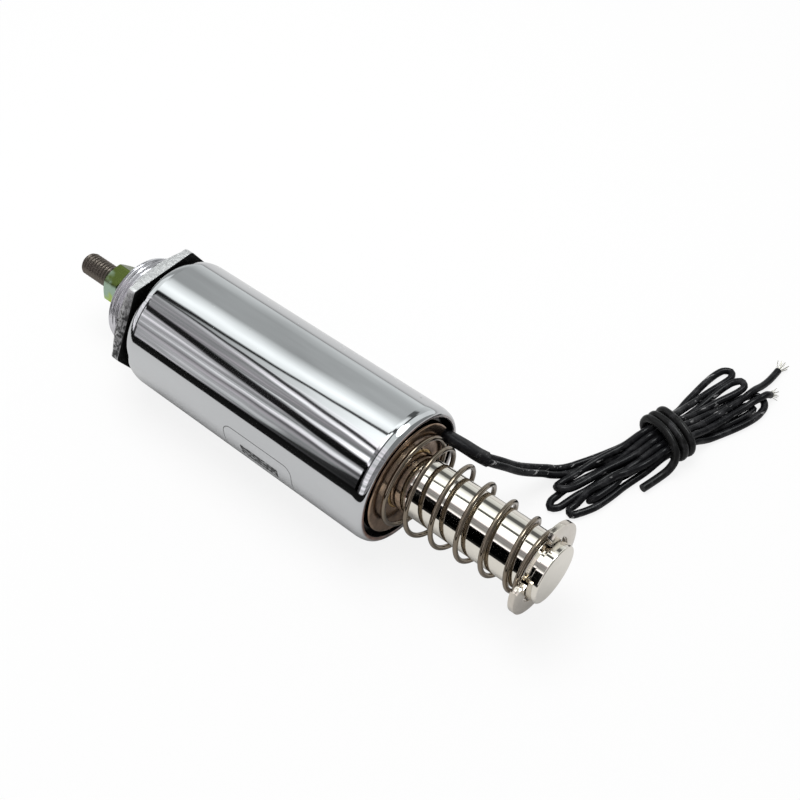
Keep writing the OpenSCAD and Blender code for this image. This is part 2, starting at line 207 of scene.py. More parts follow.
@dataclass(frozen=True)
class Finish:
    """A surface finish. The plain one is an even colour with a little cloudiness.

    Attributes:
        name: The material's name.
        colour: Its base colour.
        metallic: 1 for bare or plated metal.
        roughness: Its mean roughness.
        cloud: How much the roughness wanders over the surface.
        cloud_mm: The size of that wandering.
        grain_mm: Depth of the fine surface grain.
        fine_mm: Size of the grain.
        sheen: Strength of the reflection where it isn't metal.
    """

    name: str
    colour: Colour
    metallic: float = 1.0
    roughness: float = 0.25
    cloud: float = 0.06
    cloud_mm: float = 4.0
    grain_mm: float = 0.002
    fine_mm: float = 0.35
    sheen: float = 0.5

    def make(self) -> bpy.types.Material:
        """Builds the material once, and returns it."""
        title = f"{self.name}_finish"
        found = bpy.data.materials.get(title)
        if found is not None:
            return found
        made = bpy.data.materials.new(title)
        made.use_nodes = True
        made.node_tree.nodes.clear()
        graph = Graph(made.node_tree)
        place = graph.out("ShaderNodeTexCoord", at="Object")
        look = self.look(graph, place)
        fixed = {"Metallic": self.metallic, "IOR": 1.5, "Specular IOR Level": self.sheen}
        shader = graph.node("ShaderNodeBsdfPrincipled", None, {**fixed, **look})
        graph.node("ShaderNodeOutputMaterial", None, {"Surface": Value(graph, shader.outputs[0])})
        return made

    def look(self, graph: Graph, place: Value) -> dict:
        """The sockets of the shader that this finish sets.

        Args:
            graph: The material's tree.
            place: Object coordinates.

        Returns:
            Values by socket name.
        """
        cloud = graph.noise(place, 1000 / self.cloud_mm, 3.0)
        shade = graph.mix(cloud, scaled(self.colour, 0.9), scaled(self.colour, 1.08))
        grain = graph.noise(place, 1000 / self.fine_mm, 2.0)
        return {
            "Base Color": shade,
            "Roughness": self.roughness + (cloud - 0.5) * (2 * self.cloud),
            "Normal": graph.bump(grain, self.grain_mm),
        }


def scaled(colour: Colour, by: float) -> Colour:
    """A colour made lighter or darker, held below full white."""
    return tuple(min(1.0, c * by) for c in colour)


@dataclass(frozen=True)
class DrawnPlate(Finish):
    """Bright plate over deep-drawn steel: long faint draw lines and soft waviness along X.

    Attributes:
        wave_mm: Depth of the long waviness.
        line_mm: Depth of the draw lines.
    """

    wave_mm: float = 0.03
    line_mm: float = 0.0012

    def look(self, graph: Graph, place: Value) -> dict:
        """Adds the draw lines and the waviness to the plain finish."""
        x, y, z = graph.axes(place)
        lines = graph.noise(graph.joined(x * 0.03, y, z), 2600.0, 2.0)
        wave = graph.noise(graph.joined(x * 0.35, y, z), 130.0, 1.0)
        cloud = graph.noise(graph.joined(x * 0.2, y, z), 220.0, 3.0)
        normal = graph.bump(lines, self.line_mm, graph.bump(wave, self.wave_mm))
        shade = graph.mix(cloud, scaled(self.colour, 0.94), scaled(self.colour, 1.05))
        return {
            "Base Color": shade,
            "Roughness": self.roughness + (cloud - 0.5) * (2 * self.cloud),
            "Normal": normal,
        }


@dataclass(frozen=True)
class CanPlate(DrawnPlate):
    """The can's plate, with a bare copper-red cut edge at the rear, a blank label film, and painted shade inside the
    can and on its front face.

    Attributes:
        length: Where the can ends.
        radius: The can's outside radius.
        edge_colour: Colour of the cut edge.
        film: The blank label's ends along X, and its ends round the can in degrees.
        block: The same for the dark block on it.
    """

    length: float = 61.5
    radius: float = 14.0
    edge_colour: Colour = (0.3, 0.17, 0.13)
    film: tuple[float, float, float, float] = (27.8, 45.2, 80.5, 118.0)
    block: tuple[float, float, float, float] = (32.0, 41.6, 92.0, 103.0)

    def inside(self, x: Value, arc: Value, box: tuple[float, float, float, float], corner: float, grow: float = 0.0) -> Value:
        """How far a point lies outside a rounded box on the can's side, in millimetres.

        Args:
            x: Place along the can, in millimetres.
            arc: Place round the can, in millimetres.
            box: Ends along X, and ends round the can in degrees.
            corner: Radius of its corners.
            grow: How much the box is grown.

        Returns:
            The distance, below zero inside.
        """
        round_mm = math.radians(self.radius)
        mid_x, half_x = (box[0] + box[1]) / 2, (box[1] - box[0]) / 2 + grow - corner
        mid_a, half_a = (box[2] + box[3]) / 2 * round_mm, (box[3] - box[2]) / 2 * round_mm + grow - corner
        out_x = ((x - mid_x).call("ABSOLUTE") - half_x).call("MAXIMUM", 0.0)
        out_a = ((arc - mid_a).call("ABSOLUTE") - half_a).call("MAXIMUM", 0.0)
        return (out_x * out_x + out_a * out_a).call("SQRT") - corner

    def look(self, graph: Graph, place: Value) -> dict:
        """Adds the cut edge, the label film, the dark specks, and the painted shade inside the can and on its front
        face.
        """
        base = super().look(graph, place)
        x, y, z = graph.axes(place)
        x_mm = x * 1000.0
        arc = (-y).call("ARCTAN2", z) * self.radius
        radial = (y * y + z * z).call("SQRT") * 1000.0
        low = (arc / self.radius - 1.2).call("ABSOLUTE")
        edge = x_mm.over(self.length - 0.3, 0.3) * (1 - radial.over(self.radius - 0.85, 0.4))
        film = self.inside(x_mm, arc, self.film, 2.0)
        line = 1 - (film.call("ABSOLUTE") - 0.1).over(0.0, 0.06)
        block = 1 - self.inside(x_mm, arc, self.block, 0.3).over(0.0, 0.08)
        weave = graph.noise(graph.joined(x_mm * 1.1, arc * 1.8, 0.0), 1.0, 1.0)
        printed = (line * 0.8).call("MAXIMUM", block * (1 - weave.over(0.56, 0.06) * 0.5))
        patch = graph.noise(place, 500.0, 3.0)
        copper = graph.mix(patch.over(0.5, 0.3), scaled(self.edge_colour, 0.35), scaled(self.edge_colour, 1.6))
        worn = edge * (1 - low.over(1.5, 1.6) * 0.75)
        # Painted shade: the inside wall beyond X = 3 mm and the front face round the hole are darkened to near-black,
        # as shade in the recess and behind the nut.
        inner = x_mm.over(3.0, 0.5) * (1 - radial.over(self.radius - 1.42, 0.06))
        face = (1 - x_mm.over(0.25, 0.2)) * (1 - radial.over(self.radius - 0.9, 0.6))
        specks = graph.noise(place, 420.0, 4.0, 0.65).over(0.735, 0.02) * x_mm.over(2.0, 1.0)
        plated = graph.mix(specks * 0.7, base["Base Color"], (0.03, 0.03, 0.035))
        plated = graph.mix(worn, plated, copper)
        plated = graph.mix(inner.call("MAXIMUM", face), plated, (0.015, 0.013, 0.012))
        shade = graph.mix(printed, plated, (0.008, 0.008, 0.008))
        dull = 1 - film.over(0.0, 0.1)
        return {
            "Base Color": shade,
            "Metallic": 1 - printed,
            "Roughness": base["Roughness"] + edge * 0.25 + dull * 0.06 + printed * 0.3,
            "Normal": base["Normal"],
        }


@dataclass(frozen=True)
class Turned(Finish):
    """Lathe-turned metal: fine rings round the X axis, on cylinders and on faces.

    Attributes:
        ring_mm: Spacing of the rings.
        ring_depth: Their depth.
        stain: Colour of the tarnish between the bright patches.
        stained: How much of the surface it takes, from 0 to 1.
        painted_shade_from: Radius in millimetres beyond which the colour is darkened to near-black as painted shade, or
            0.
    """

    ring_mm: float = 0.18
    ring_depth: float = 0.0012
    stain: Colour = (0.4, 0.32, 0.25)
    stained: float = 0.0
    painted_shade_from: float = 0.0

    def look(self, graph: Graph, place: Value) -> dict:
        """Adds the rings, the tarnish, and the painted shade beyond a radius."""
        x, y, z = graph.axes(place)
        radial = (y * y + z * z).call("SQRT")
        turn = graph.joined(x, radial, 0.0)
        rings = graph.noise(turn, 1000 / self.ring_mm, 2.0)
        cloud = graph.noise(place, 1000 / self.cloud_mm, 3.0)
        shade = graph.mix(cloud, scaled(self.colour, 0.92), scaled(self.colour, 1.06))
        if self.stained:
            shade = graph.mix((cloud * 1.6 - 0.8 + self.stained).clamped(), shade, self.stain)
        # Painted shade: beyond this radius the colour is darkened to near-black. On the rear plate this is the groove
        # inside the can's lip.
        if self.painted_shade_from:
            shade = graph.mix((radial * 1000.0).over(self.painted_shade_from, 0.12), shade, (0.012, 0.01, 0.009))
        return {
            "Base Color": shade,
            "Roughness": self.roughness + (cloud - 0.5) * (2 * self.cloud) + (rings - 0.5) * 0.08,
            "Normal": graph.bump(rings, self.ring_depth),
        }


@dataclass(frozen=True)
class Chromate(Finish):
    """Yellow zinc chromate, coloured by side: dark olive on top, a painted pale highlight across the middle, straw
    green below.

    Attributes:
        olive: Colour on the upper faces.
        pale: Pale blue-green of the painted highlight across the middle.
    """

    olive: Colour = (0.09, 0.12, 0.03)
    pale: Colour = (0.34, 0.46, 0.36)

    def look(self, graph: Graph, place: Value) -> dict:
        """Mixes the colours over the nut by height and side, with a little noise."""
        _, y, z = graph.axes(place)
        film = graph.noise(place, 300.0, 2.0)
        # Partly painted light: the chromate hues are real, but the colour follows height and side: dark olive on top, a
        # pale painted highlight in the middle, straw green below.
        down = ((-z - y * 0.4) * 110.0 + 0.45 + (film - 0.5) * 0.9).clamped()
        stops = [(0.2, self.olive), (0.82, self.colour), (0.42, self.pale), (0.62, self.pale)]
        shade = graph.out("ShaderNodeValToRGB", {"stops": stops}, {0: down})
        grain = graph.noise(place, 2400.0, 2.0)
        return {
            "Base Color": shade,
            "Roughness": self.roughness + (film - 0.5) * (2 * self.cloud),
            "Normal": graph.bump(grain, self.grain_mm),
        }


@dataclass(frozen=True)
class NutPlate(Finish):
    """Coarse bright zinc on a machined nut: cross-cut lines on the flats, with painted shade on the rear face and on
    the flat that faces -Y.

    Attributes:
        back: Where along X its rear face lies.
    """

    back: float = -1.0

    def look(self, graph: Graph, place: Value) -> dict:
        """Adds the cut lines, the pits, and the painted shade on the rear face and on the flat that faces -Y."""
        x, y, z = graph.axes(place)
        cuts = graph.noise(graph.joined(x * 0.25, y, z), 3800.0, 2.0)
        pits = graph.noise(place, 1500.0, 3.0)
        # Painted shade: the flat that faces -Y is darkened as a whole, mottled by the pits.
        side = ((-y) * 1000.0 + z * 200.0).over(10.5, 3.0)
        spots = (pits.over(0.5, 0.14) * 0.6 + 0.36) * side
        shade = graph.mix(cuts.over(0.5, 0.5), scaled(self.colour, 0.72), scaled(self.colour, 1.15))
        shade = graph.mix(spots, shade, (0.06, 0.06, 0.06))
        # Painted shade: the rear face, towards the can, is darkened to near-black.
        behind = (x * 1000.0).over(self.back - 0.14, 0.12)
        shade = graph.mix(behind, shade, (0.02, 0.02, 0.02))
        return {
            "Base Color": shade,
            "Roughness": self.roughness + (cuts - 0.5) * (2 * self.cloud) + behind * 0.3,
            "Normal": graph.bump(cuts, 0.006, graph.bump(pits * side, self.grain_mm)),
        }


@dataclass(frozen=True)
class Rubbed(Finish):
    """Black insulation with scuffs and a faint extruded grain.

    Attributes:
        scuff: Colour of the scuffed places.
        fleck: Strength of the pale flecks of worn marking.
    """

    scuff: Colour = (0.028, 0.028, 0.03)
    fleck: float = 0.0

    def look(self, graph: Graph, place: Value) -> dict:
        """Adds the scuffs and the flecks."""
        wide = graph.noise(place, 1000 / self.cloud_mm, 4.0, 0.6)
        grain = graph.noise(place, 1000 / self.fine_mm, 3.0)
        worn = ((wide - 0.52) * 5.0).clamped()
        shade = graph.mix(worn, self.colour, self.scuff)
        if self.fleck:  # drawn out along the hank
            x, y, z = graph.axes(place)
            drawn = graph.joined((x * 0.27 + y * 0.96) * 0.3, x * 0.96 - y * 0.27, z)
            spots = graph.noise(drawn, 1500.0, 2.0, 0.6).over(0.64, 0.06)
            spots = spots * graph.noise(place, 130.0, 1.0).over(0.56, 0.1)
            shade = graph.mix(spots * self.fleck, shade, (0.35, 0.35, 0.35))
        return {
            "Base Color": shade,
            "Roughness": self.roughness + (wide - 0.5) * (2 * self.cloud),
            "Normal": graph.bump(grain, self.grain_mm),
        }


@dataclass(frozen=True)
class Wound(Finish):
    """A close winding, with one ridge for each turn of wire along X.

    Attributes:
        turn_mm: Spacing of the turns.
    """

    turn_mm: float = 0.32

    def look(self, graph: Graph, place: Value) -> dict:
        """Adds the ridges."""
        x, _, _ = graph.axes(place)
        ridge = (x * (1000 * math.pi / self.turn_mm)).call("SINE").call("ABSOLUTE")
        base = super().look(graph, place)
        base["Normal"] = graph.bump(ridge, 0.04)
        return base


class Finishes:
    """Every finish on the solenoid, by what it is on."""

    can = CanPlate("can_plate", (0.6, 0.61, 0.62), roughness=0.05, cloud=0.03, sheen=0.2)
    core = Turned("core_steel", (0.68, 0.67, 0.7), roughness=0.14, cloud=0.08, cloud_mm=2.5)
    nut = NutPlate("nut_plate", (0.86, 0.86, 0.86), roughness=0.34, cloud=0.1, grain_mm=0.04)
    brass = Turned("brass", (0.72, 0.5, 0.22), roughness=0.25)
    fibre = Finish("fibre", (0.24, 0.1, 0.05), metallic=0.0, roughness=0.7, grain_mm=0.01)
    nylon = Finish("nylon", (0.72, 0.7, 0.62), metallic=0.0, roughness=0.45)
    copper = Wound("enamelled_copper", (0.5, 0.16, 0.06), roughness=0.3)
    tape = Finish("tape", (0.6, 0.48, 0.16), metallic=0.0, roughness=0.4)
    # The rear plate's groove beyond a radius of 11.42 mm carries painted shade.
    plate = Turned(
        "plate_nickel", (0.47, 0.33, 0.23), roughness=0.2, cloud=0.1, cloud_mm=1.6, ring_mm=0.5, ring_depth=0.004,
        stain=(0.08, 0.05, 0.035), stained=0.44, painted_shade_from=11.42,
    )
    nickel = Turned("nickel", (0.84, 0.8, 0.72), roughness=0.06, cloud=0.03, cloud_mm=3.0, ring_depth=0.0008)
    rod = Turned("rod_steel", (0.15, 0.128, 0.11), roughness=0.33, cloud=0.1, cloud_mm=1.5)
    zinc = Chromate("yellow_zinc", (0.42, 0.55, 0.07), roughness=0.26, cloud=0.1)
    clip = Finish("clip_nickel", (0.68, 0.63, 0.56), roughness=0.16, cloud=0.08, cloud_mm=1.5)
    spring = Finish("spring_steel", (0.24, 0.2, 0.155), roughness=0.13, cloud=0.06, cloud_mm=1.5, grain_mm=0.003)
    sleeve = Rubbed(
        "sleeve", (0.006, 0.006, 0.007), 0.0, 0.42, cloud=0.1, cloud_mm=2.0, grain_mm=0.01, sheen=0.14, fleck=0.12,
    )
    lead = Rubbed(
        "lead_insulation", (0.005, 0.005, 0.006), 0.0, 0.24, cloud=0.1, cloud_mm=3.0, grain_mm=0.004, sheen=0.15, fleck=0.7,
    )
    tie = Rubbed("tie", (0.006, 0.006, 0.006), 0.0, 0.3, cloud=0.1, cloud_mm=2.5, grain_mm=0.006, sheen=0.18)
    tinned = Finish("tinned_copper", (0.62, 0.6, 0.54), roughness=0.35)


# ---------------------------------------------------------------- mesh helpers

Shape = Callable[[np.ndarray], np.ndarray]
Ring = tuple[Shape | float, Shape | float]


def loft(rings: Sequence[Ring], sides: int, closed: bool) -> bpy.types.Mesh:
    """Skins rings round the X axis.

    Args:
        rings: For each ring its place along X and its radius in millimetres, each a number
            or a function of the angle. A radius of zero makes a pole.
        sides: Points in each ring.
        closed: Whether the last ring joins the first.

    Returns:
        The mesh, in metres, with its faces pointing outwards.
    """
    angle = np.arange(sides) * (2 * math.pi / sides)
    build = bmesh.new()
    rows = []
    for place, radius in rings:
        if radius == 0:
            rows.append([build.verts.new((place * MM, 0, 0))] * sides)
            continue
        x = place(angle) if callable(place) else np.full(sides, float(place))
        r = radius(angle) if callable(radius) else np.full(sides, float(radius))
        rows.append([build.verts.new((a * MM, b * MM * math.cos(t), b * MM * math.sin(t))) for a, b, t in zip(x, r, angle)])
    pairs = list(zip(rows, rows[1:])) + ([(rows[-1], rows[0])] if closed else [])
    for low, high in pairs:
        for i in range(sides):
            j = (i + 1) % sides
            corners = list(dict.fromkeys([low[i], low[j], high[j], high[i]]))
            if len(corners) > 2:
                build.faces.new(corners)
    bmesh.ops.recalc_face_normals(build, faces=build.faces)
    mesh = bpy.data.meshes.new("loft")
    build.to_mesh(mesh)
    build.free()
    return mesh


def lathe(profile: Sequence[tuple[float, float]], sides: int = 224, hold: float = 0.04) -> bpy.types.Mesh:
    """Turns a profile of (x, radius) points, with a holding ring beside each corner.

    Args:
        profile: The points, in millimetres. It is closed unless it starts and ends at radius 0.
        sides: Points round the axis.
        hold: How far the holding rings lie from the corners.

    Returns:
        The mesh.
    """
    solid = profile[0][1] == 0 and profile[-1][1] == 0
    loop = list(profile) if solid else [*profile, profile[0]]
    rings: list[tuple[float, float]] = []
    for (x0, r0), (x1, r1) in zip(loop, loop[1:]):
        rings.append((x0, r0))
        long = math.hypot(x1 - x0, r1 - r0)
        if long > 5 * hold:
            for share in (hold / long, 1 - hold / long):
                rings.append((x0 + (x1 - x0) * share, r0 + (r1 - r0) * share))
    if solid:
        rings.append(loop[-1])
    return loft(rings, sides, not solid)


def rounded(
    cx: float, cr: float, radius: float, start: float, end: float, steps: int = 7, long: float | None = None
) -> list[tuple[float, float]]:
    """Points of an arc in a profile.

    Args:
        cx: Its centre along X.
        cr: Its centre's distance from the axis.
        radius: Its radius.
        start: The angle that it starts at, in degrees from +X.
        end: The angle that it ends at.
        steps: How many steps it has.
        long: Its radius along X, where that differs.

    Returns:
        The points, as (x, radius).
    """
    turns = [math.radians(start + (end - start) * i / steps) for i in range(steps + 1)]
    return [(cx + (long or radius) * math.cos(t), cr + radius * math.sin(t)) for t in turns]


def crease(mesh: bpy.types.Mesh, degrees: float) -> None:
    """Shades a mesh smooth, with sharp edges where its faces meet at more than an angle."""
    build = bmesh.new()
    build.from_mesh(mesh)
    for f in build.faces:
        f.smooth = True
    for e in build.edges:
        e.smooth = len(e.link_faces) != 2 or e.calc_face_angle(0.0) < math.radians(degrees)
    build.to_mesh(mesh)
    build.free()


def softened(node: str, width: float) -> bpy.types.Mesh:
    """A copy of a CAD node with its faces joined up and its sharp edges broken.

    Args:
        node: The node's name.
        width: Width of the broken edges, in millimetres.

    Returns:
        The mesh.
    """
    build = bmesh.new()
    build.from_mesh(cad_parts[node].data)
    bmesh.ops.remove_doubles(build, verts=build.verts, dist=1e-6)
    bmesh.ops.dissolve_limit(build, angle_limit=math.radians(0.5), verts=build.verts, edges=build.edges)
    sharp = [e for e in build.edges if len(e.link_faces) == 2 and e.calc_face_angle(0.0) > math.radians(40)]
    bmesh.ops.bevel(build, geom=sharp, offset=width * MM, segments=2, profile=0.6, affect="EDGES", clamp_overlap=True)
    bmesh.ops.triangulate(build, faces=[f for f in build.faces if len(f.verts) > 4])
    mesh = bpy.data.meshes.new(node)
    build.to_mesh(mesh)
    build.free()
    return mesh


@dataclass
class Piece:
    """One visual piece: a mesh or curve, its finish, its body and the nodes it stands for.

    Attributes:
        name: The object's name.
        data: The mesh or curve.
        finish: Its finish.
        body: The body that it rides on.
        stands_for: The CAD nodes that it replaces.
        sharp: Angle above which an edge stays sharp, in degrees.
    """

    name: str
    data: bpy.types.Mesh | bpy.types.Curve
    finish: Finish
    body: Body
    stands_for: tuple[str, ...] = ()
    sharp: float = 30.0

    def place(self) -> bpy.types.Object:
        """Puts the piece in the scene, and returns its object."""
        self.data.materials.clear()
        self.data.materials.append(self.finish.make())
        if isinstance(self.data, bpy.types.Mesh):
            crease(self.data, self.sharp)
        made = bpy.data.objects.new(self.name, self.data)
        bpy.context.scene.collection.objects.link(made)
        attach(made, self.body.value)
        if self.stands_for:
            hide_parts(*self.stands_for)
        count = len(self.data.polygons) if isinstance(self.data, bpy.types.Mesh) else 0
        log.info("%s: %s, %d faces, on the %s", self.name, self.finish.name, count, self.body.value)
        return made


# ---------------------------------------------------------------- geometry trees


class Tree:
    """A Geometry Nodes tree with named inputs, which is run once and made a plain mesh."""

    inputs: dict[str, str] = {}

    def __init__(self, name: str) -> None:
        """Makes the tree's sockets, then its nodes."""
        self.tree = bpy.data.node_groups.new(name, "GeometryNodeTree")
        face = self.tree.interface
        face.new_socket(name="Geometry", in_out="INPUT", socket_type="NodeSocketGeometry")
        for label, kind in {**self.inputs, "Material": "NodeSocketMaterial"}.items():
            face.new_socket(name=label, in_out="INPUT", socket_type=kind)
        face.new_socket(name="Geometry", in_out="OUTPUT", socket_type="NodeSocketGeometry")
        self.graph = Graph(self.tree)
        self.group = self.graph.node("NodeGroupInput")
        made = self.graph.out("GeometryNodeRealizeInstances", None, {0: self.shape()})
        made = self.graph.out("GeometryNodeSetMaterial", None, {0: made, "Material": self.ask("Material")})
        self.graph.node("NodeGroupOutput", None, {0: made})

    def ask(self, label: str) -> Value:
        """One of the tree's inputs."""
        return Value(self.graph, self.group.outputs[label])

    def shape(self) -> Value:
        """The geometry before it is realised. Each tree gives its own."""
        raise NotImplementedError

    def run(self, finish: Finish, **sizes: float | int) -> bpy.types.Mesh:
        """Evaluates the tree.

        Args:
            finish: The finish for its material.
            **sizes: The inputs, by their names in lower case with underscores.

        Returns:
            The result as a plain mesh.
        """
        holder = bpy.data.objects.new("holder", bpy.data.meshes.new("holder"))
        bpy.context.scene.collection.objects.link(holder)
        run = holder.modifiers.new("tree", "NODES")
        run.node_group = self.tree
        given = {k.replace("_", " ").capitalize(): v for k, v in sizes.items()}
        given["Material"] = finish.make()
        for item in self.tree.interface.items_tree:
            if item.in_out == "INPUT" and item.name in given:
                run[item.identifier] = given[item.name]
        bpy.context.view_layer.update()
        seen = holder.evaluated_get(bpy.context.evaluated_depsgraph_get())
        mesh = bpy.data.meshes.new_from_object(seen)
        holder.modifiers.remove(run)
        bpy.data.objects.remove(holder)
        build = bmesh.new()
        build.from_mesh(mesh)
        bmesh.ops.recalc_face_normals(build, faces=build.faces)
        build.to_mesh(mesh)
        build.free()
        return mesh


class ThreadTree(Tree):
    """A threaded bar or bush along X: a grid that is wrapped round the axis and closed."""

    inputs = {
        "Start": "NodeSocketFloat",
        "Length": "NodeSocketFloat",
        "Radius": "NodeSocketFloat",
        "Depth": "NodeSocketFloat",
        "Pitch": "NodeSocketFloat",
        "Chamfer": "NodeSocketFloat",
        "Bore": "NodeSocketFloat",
        "Rows": "NodeSocketInt",
        "Sides": "NodeSocketInt",
    }

    def shape(self) -> Value:
        """Wraps the grid. Its first, last and closing rows lie on the bore."""
        g = self.graph
        rows, start, long = self.ask("Rows"), self.ask("Start"), self.ask("Length")
        sockets = {"Size X": 1.0, "Size Y": 1.0, "Vertices X": rows, "Vertices Y": self.ask("Sides")}
        grid = g.out("GeometryNodeMeshGrid", None, sockets)
        at_x, at_y, _ = g.axes(g.out("GeometryNodeInputPosition"))
        row = ((at_x + 0.5) * (rows - 1.0)).call("ROUND")
        turn = at_y + 0.5
        share = ((row - 1.0) / (rows - 4.0)).clamped()
        last = row.call("GREATER_THAN", rows - 1.5)
        skin = row.call("GREATER_THAN", 0.5) * (1 - row.call("GREATER_THAN", rows - 2.5))
        along = long * share * (1 - last)
        phase = (along / self.ask("Pitch") - turn).call("FRACT")
        crest = ((phase * 2.0 - 1.0).call("ABSOLUTE") * 1.5 - 0.3).clamped()
        groove = self.ask("Radius") - self.ask("Depth") * (1 - crest)
        near_end = along.call("MINIMUM", long - along)
        held = groove.call("MINIMUM", self.ask("Radius") - self.ask("Chamfer") + near_end)
        radius = skin * held + (1 - skin) * self.ask("Bore")
        angle = turn * (2 * math.pi)
        wrapped = g.joined(start + along, radius * angle.call("COSINE"), radius * angle.call("SINE"))
        moved = g.out("GeometryNodeSetPosition", None, {0: grid, "Position": wrapped})
        merged = g.out("GeometryNodeMergeByDistance", None, {0: moved, "Distance": 1e-7})
        empty = g.out("GeometryNodeInputMeshFaceArea").call("LESS_THAN", 1e-14)
        return g.out("GeometryNodeDeleteGeometry", {"domain": "FACE"}, {0: merged, "Selection": empty})


class CoilTree(Tree):
    """A tapered compression spring along X, with closed ends."""

    inputs = {
        "Start": "NodeSocketFloat",
        "End": "NodeSocketFloat",
        "Turns": "NodeSocketFloat",
        "Closed turns": "NodeSocketFloat",
        "Closed pitch": "NodeSocketFloat",
        "Large radius": "NodeSocketFloat",
        "Small radius": "NodeSocketFloat",
        "Taper": "NodeSocketFloat",
        "Start angle": "NodeSocketFloat",
        "Wire": "NodeSocketFloat",
        "Steps": "NodeSocketInt",
        "Sides": "NodeSocketInt",
    }

    def shape(self) -> Value:
        """Winds a line round the axis and gives it the wire's thickness."""
        g = self.graph
        steps, turns, closed = self.ask("Steps"), self.ask("Turns"), self.ask("Closed turns")
        start, end = self.ask("Start"), self.ask("End")
        line = g.out("GeometryNodeCurvePrimitiveLine", None, {"End": (1.0, 0.0, 0.0)})
        line = g.out("GeometryNodeResampleCurve", None, {"Curve": line, "Count": steps})
        turn = g.out("GeometryNodeInputIndex") / (steps - 1.0) * turns
        rise = closed * self.ask("Closed pitch")
        free = (end - start - rise * 2.0) / (turns - closed * 2.0)
        first = turn.call("MINIMUM", closed)
        final = (turn - (turns - closed)).call("MAXIMUM", 0.0)
        x = start + (first + final) * self.ask("Closed pitch") + (turn - first - final) * free
        share = ((x - start) / (end - start)).clamped()
        spread = (self.ask("Large radius") - self.ask("Small radius")) * (1 - share) ** self.ask("Taper")
        radius = self.ask("Small radius") + spread
        angle = self.ask("Start angle") + turn * (2 * math.pi)
        wound = g.joined(x, radius * angle.call("COSINE"), radius * angle.call("SINE"))
        line = g.out("GeometryNodeSetPosition", None, {0: line, "Position": wound})
        ring = g.out("GeometryNodeCurvePrimitiveCircle", None, {"Resolution": self.ask("Sides"), "Radius": self.ask("Wire")})
        return g.out("GeometryNodeCurveToMesh", None, {"Curve": line, "Profile Curve": ring, "Fill Caps": True})


class StrandTree(Tree):
    """The flared strands of a stripped lead: fine wires that fan out along +Z from a point."""

    inputs = {
        "Strands": "NodeSocketInt",
        "Length": "NodeSocketFloat",
        "Bundle": "NodeSocketFloat",
        "Flare": "NodeSocketFloat",
        "Wire": "NodeSocketFloat",
        "Seed": "NodeSocketInt",
    }

    def shape(self) -> Value:
        """Sets a leaning wire on each point of a spiral."""
        g = self.graph
        count = self.ask("Strands")
        points = g.out("GeometryNodeMeshLine", None, {"Count": count})
        index = g.out("GeometryNodeInputIndex")
        around = index * 2.4
        out = ((index + 0.5) / count).call("SQRT")
        reach = out * self.ask("Bundle")
        seat = g.joined(reach * around.call("COSINE"), reach * around.call("SINE"), 0.0)
        points = g.out("GeometryNodeSetPosition", None, {0: points, "Position": seat})
        sockets = {"Vertices": 6, "Radius": self.ask("Wire"), "Depth": self.ask("Length")}
        wire = g.out("GeometryNodeMeshCylinder", None, sockets)
        lift = g.joined(0.0, 0.0, self.ask("Length") * 0.5)
        wire = g.out("GeometryNodeTransform", None, {0: wire, "Translation": lift})
        lean = g.out("FunctionNodeRandomValue", None, {2: 0.5, 3: 1.2, 8: self.ask("Seed")}, 1)
        tilt = self.ask("Flare") * out * lean
        turned = g.joined(0.0, tilt, around)
        return g.out("GeometryNodeInstanceOnPoints", None, {"Points": points, "Instance": wire, "Rotation": turned})


# ---------------------------------------------------------------- studio


Bend = tuple[float, float, float]


@dataclass(frozen=True)
class Card:
    """A light or dark card in the room, which bright metal mirrors as a band along the can.

    Its edges are angles from straight up towards -Y, in degrees, at the can's front end, its
    middle and its rear end, so that a card may narrow and bend.

    Attributes:
        low: Its upper edge.
        high: Its lower edge.
        level: Its brightness at the front end and at the rear end.
        soft: Width of its soft edges.
        span: Where it starts and ends along the can, from 0 at the front to 1 at the rear.
    """

    low: Bend
    high: Bend
    level: tuple[float, float]
    soft: float = 2.0
    span: tuple[float, float] = (-9.0, 9.0)


def bent(along: Value, at: Bend) -> Value | float:
    """A card's edge, through its angles at the front end, the middle and the rear end."""
    front, middle, rear = at
    if front == middle == rear:
        return float(front)
    return front + along * ((4 * middle - 3 * front - rear) + along * (2 * front - 4 * middle + 2 * rear))


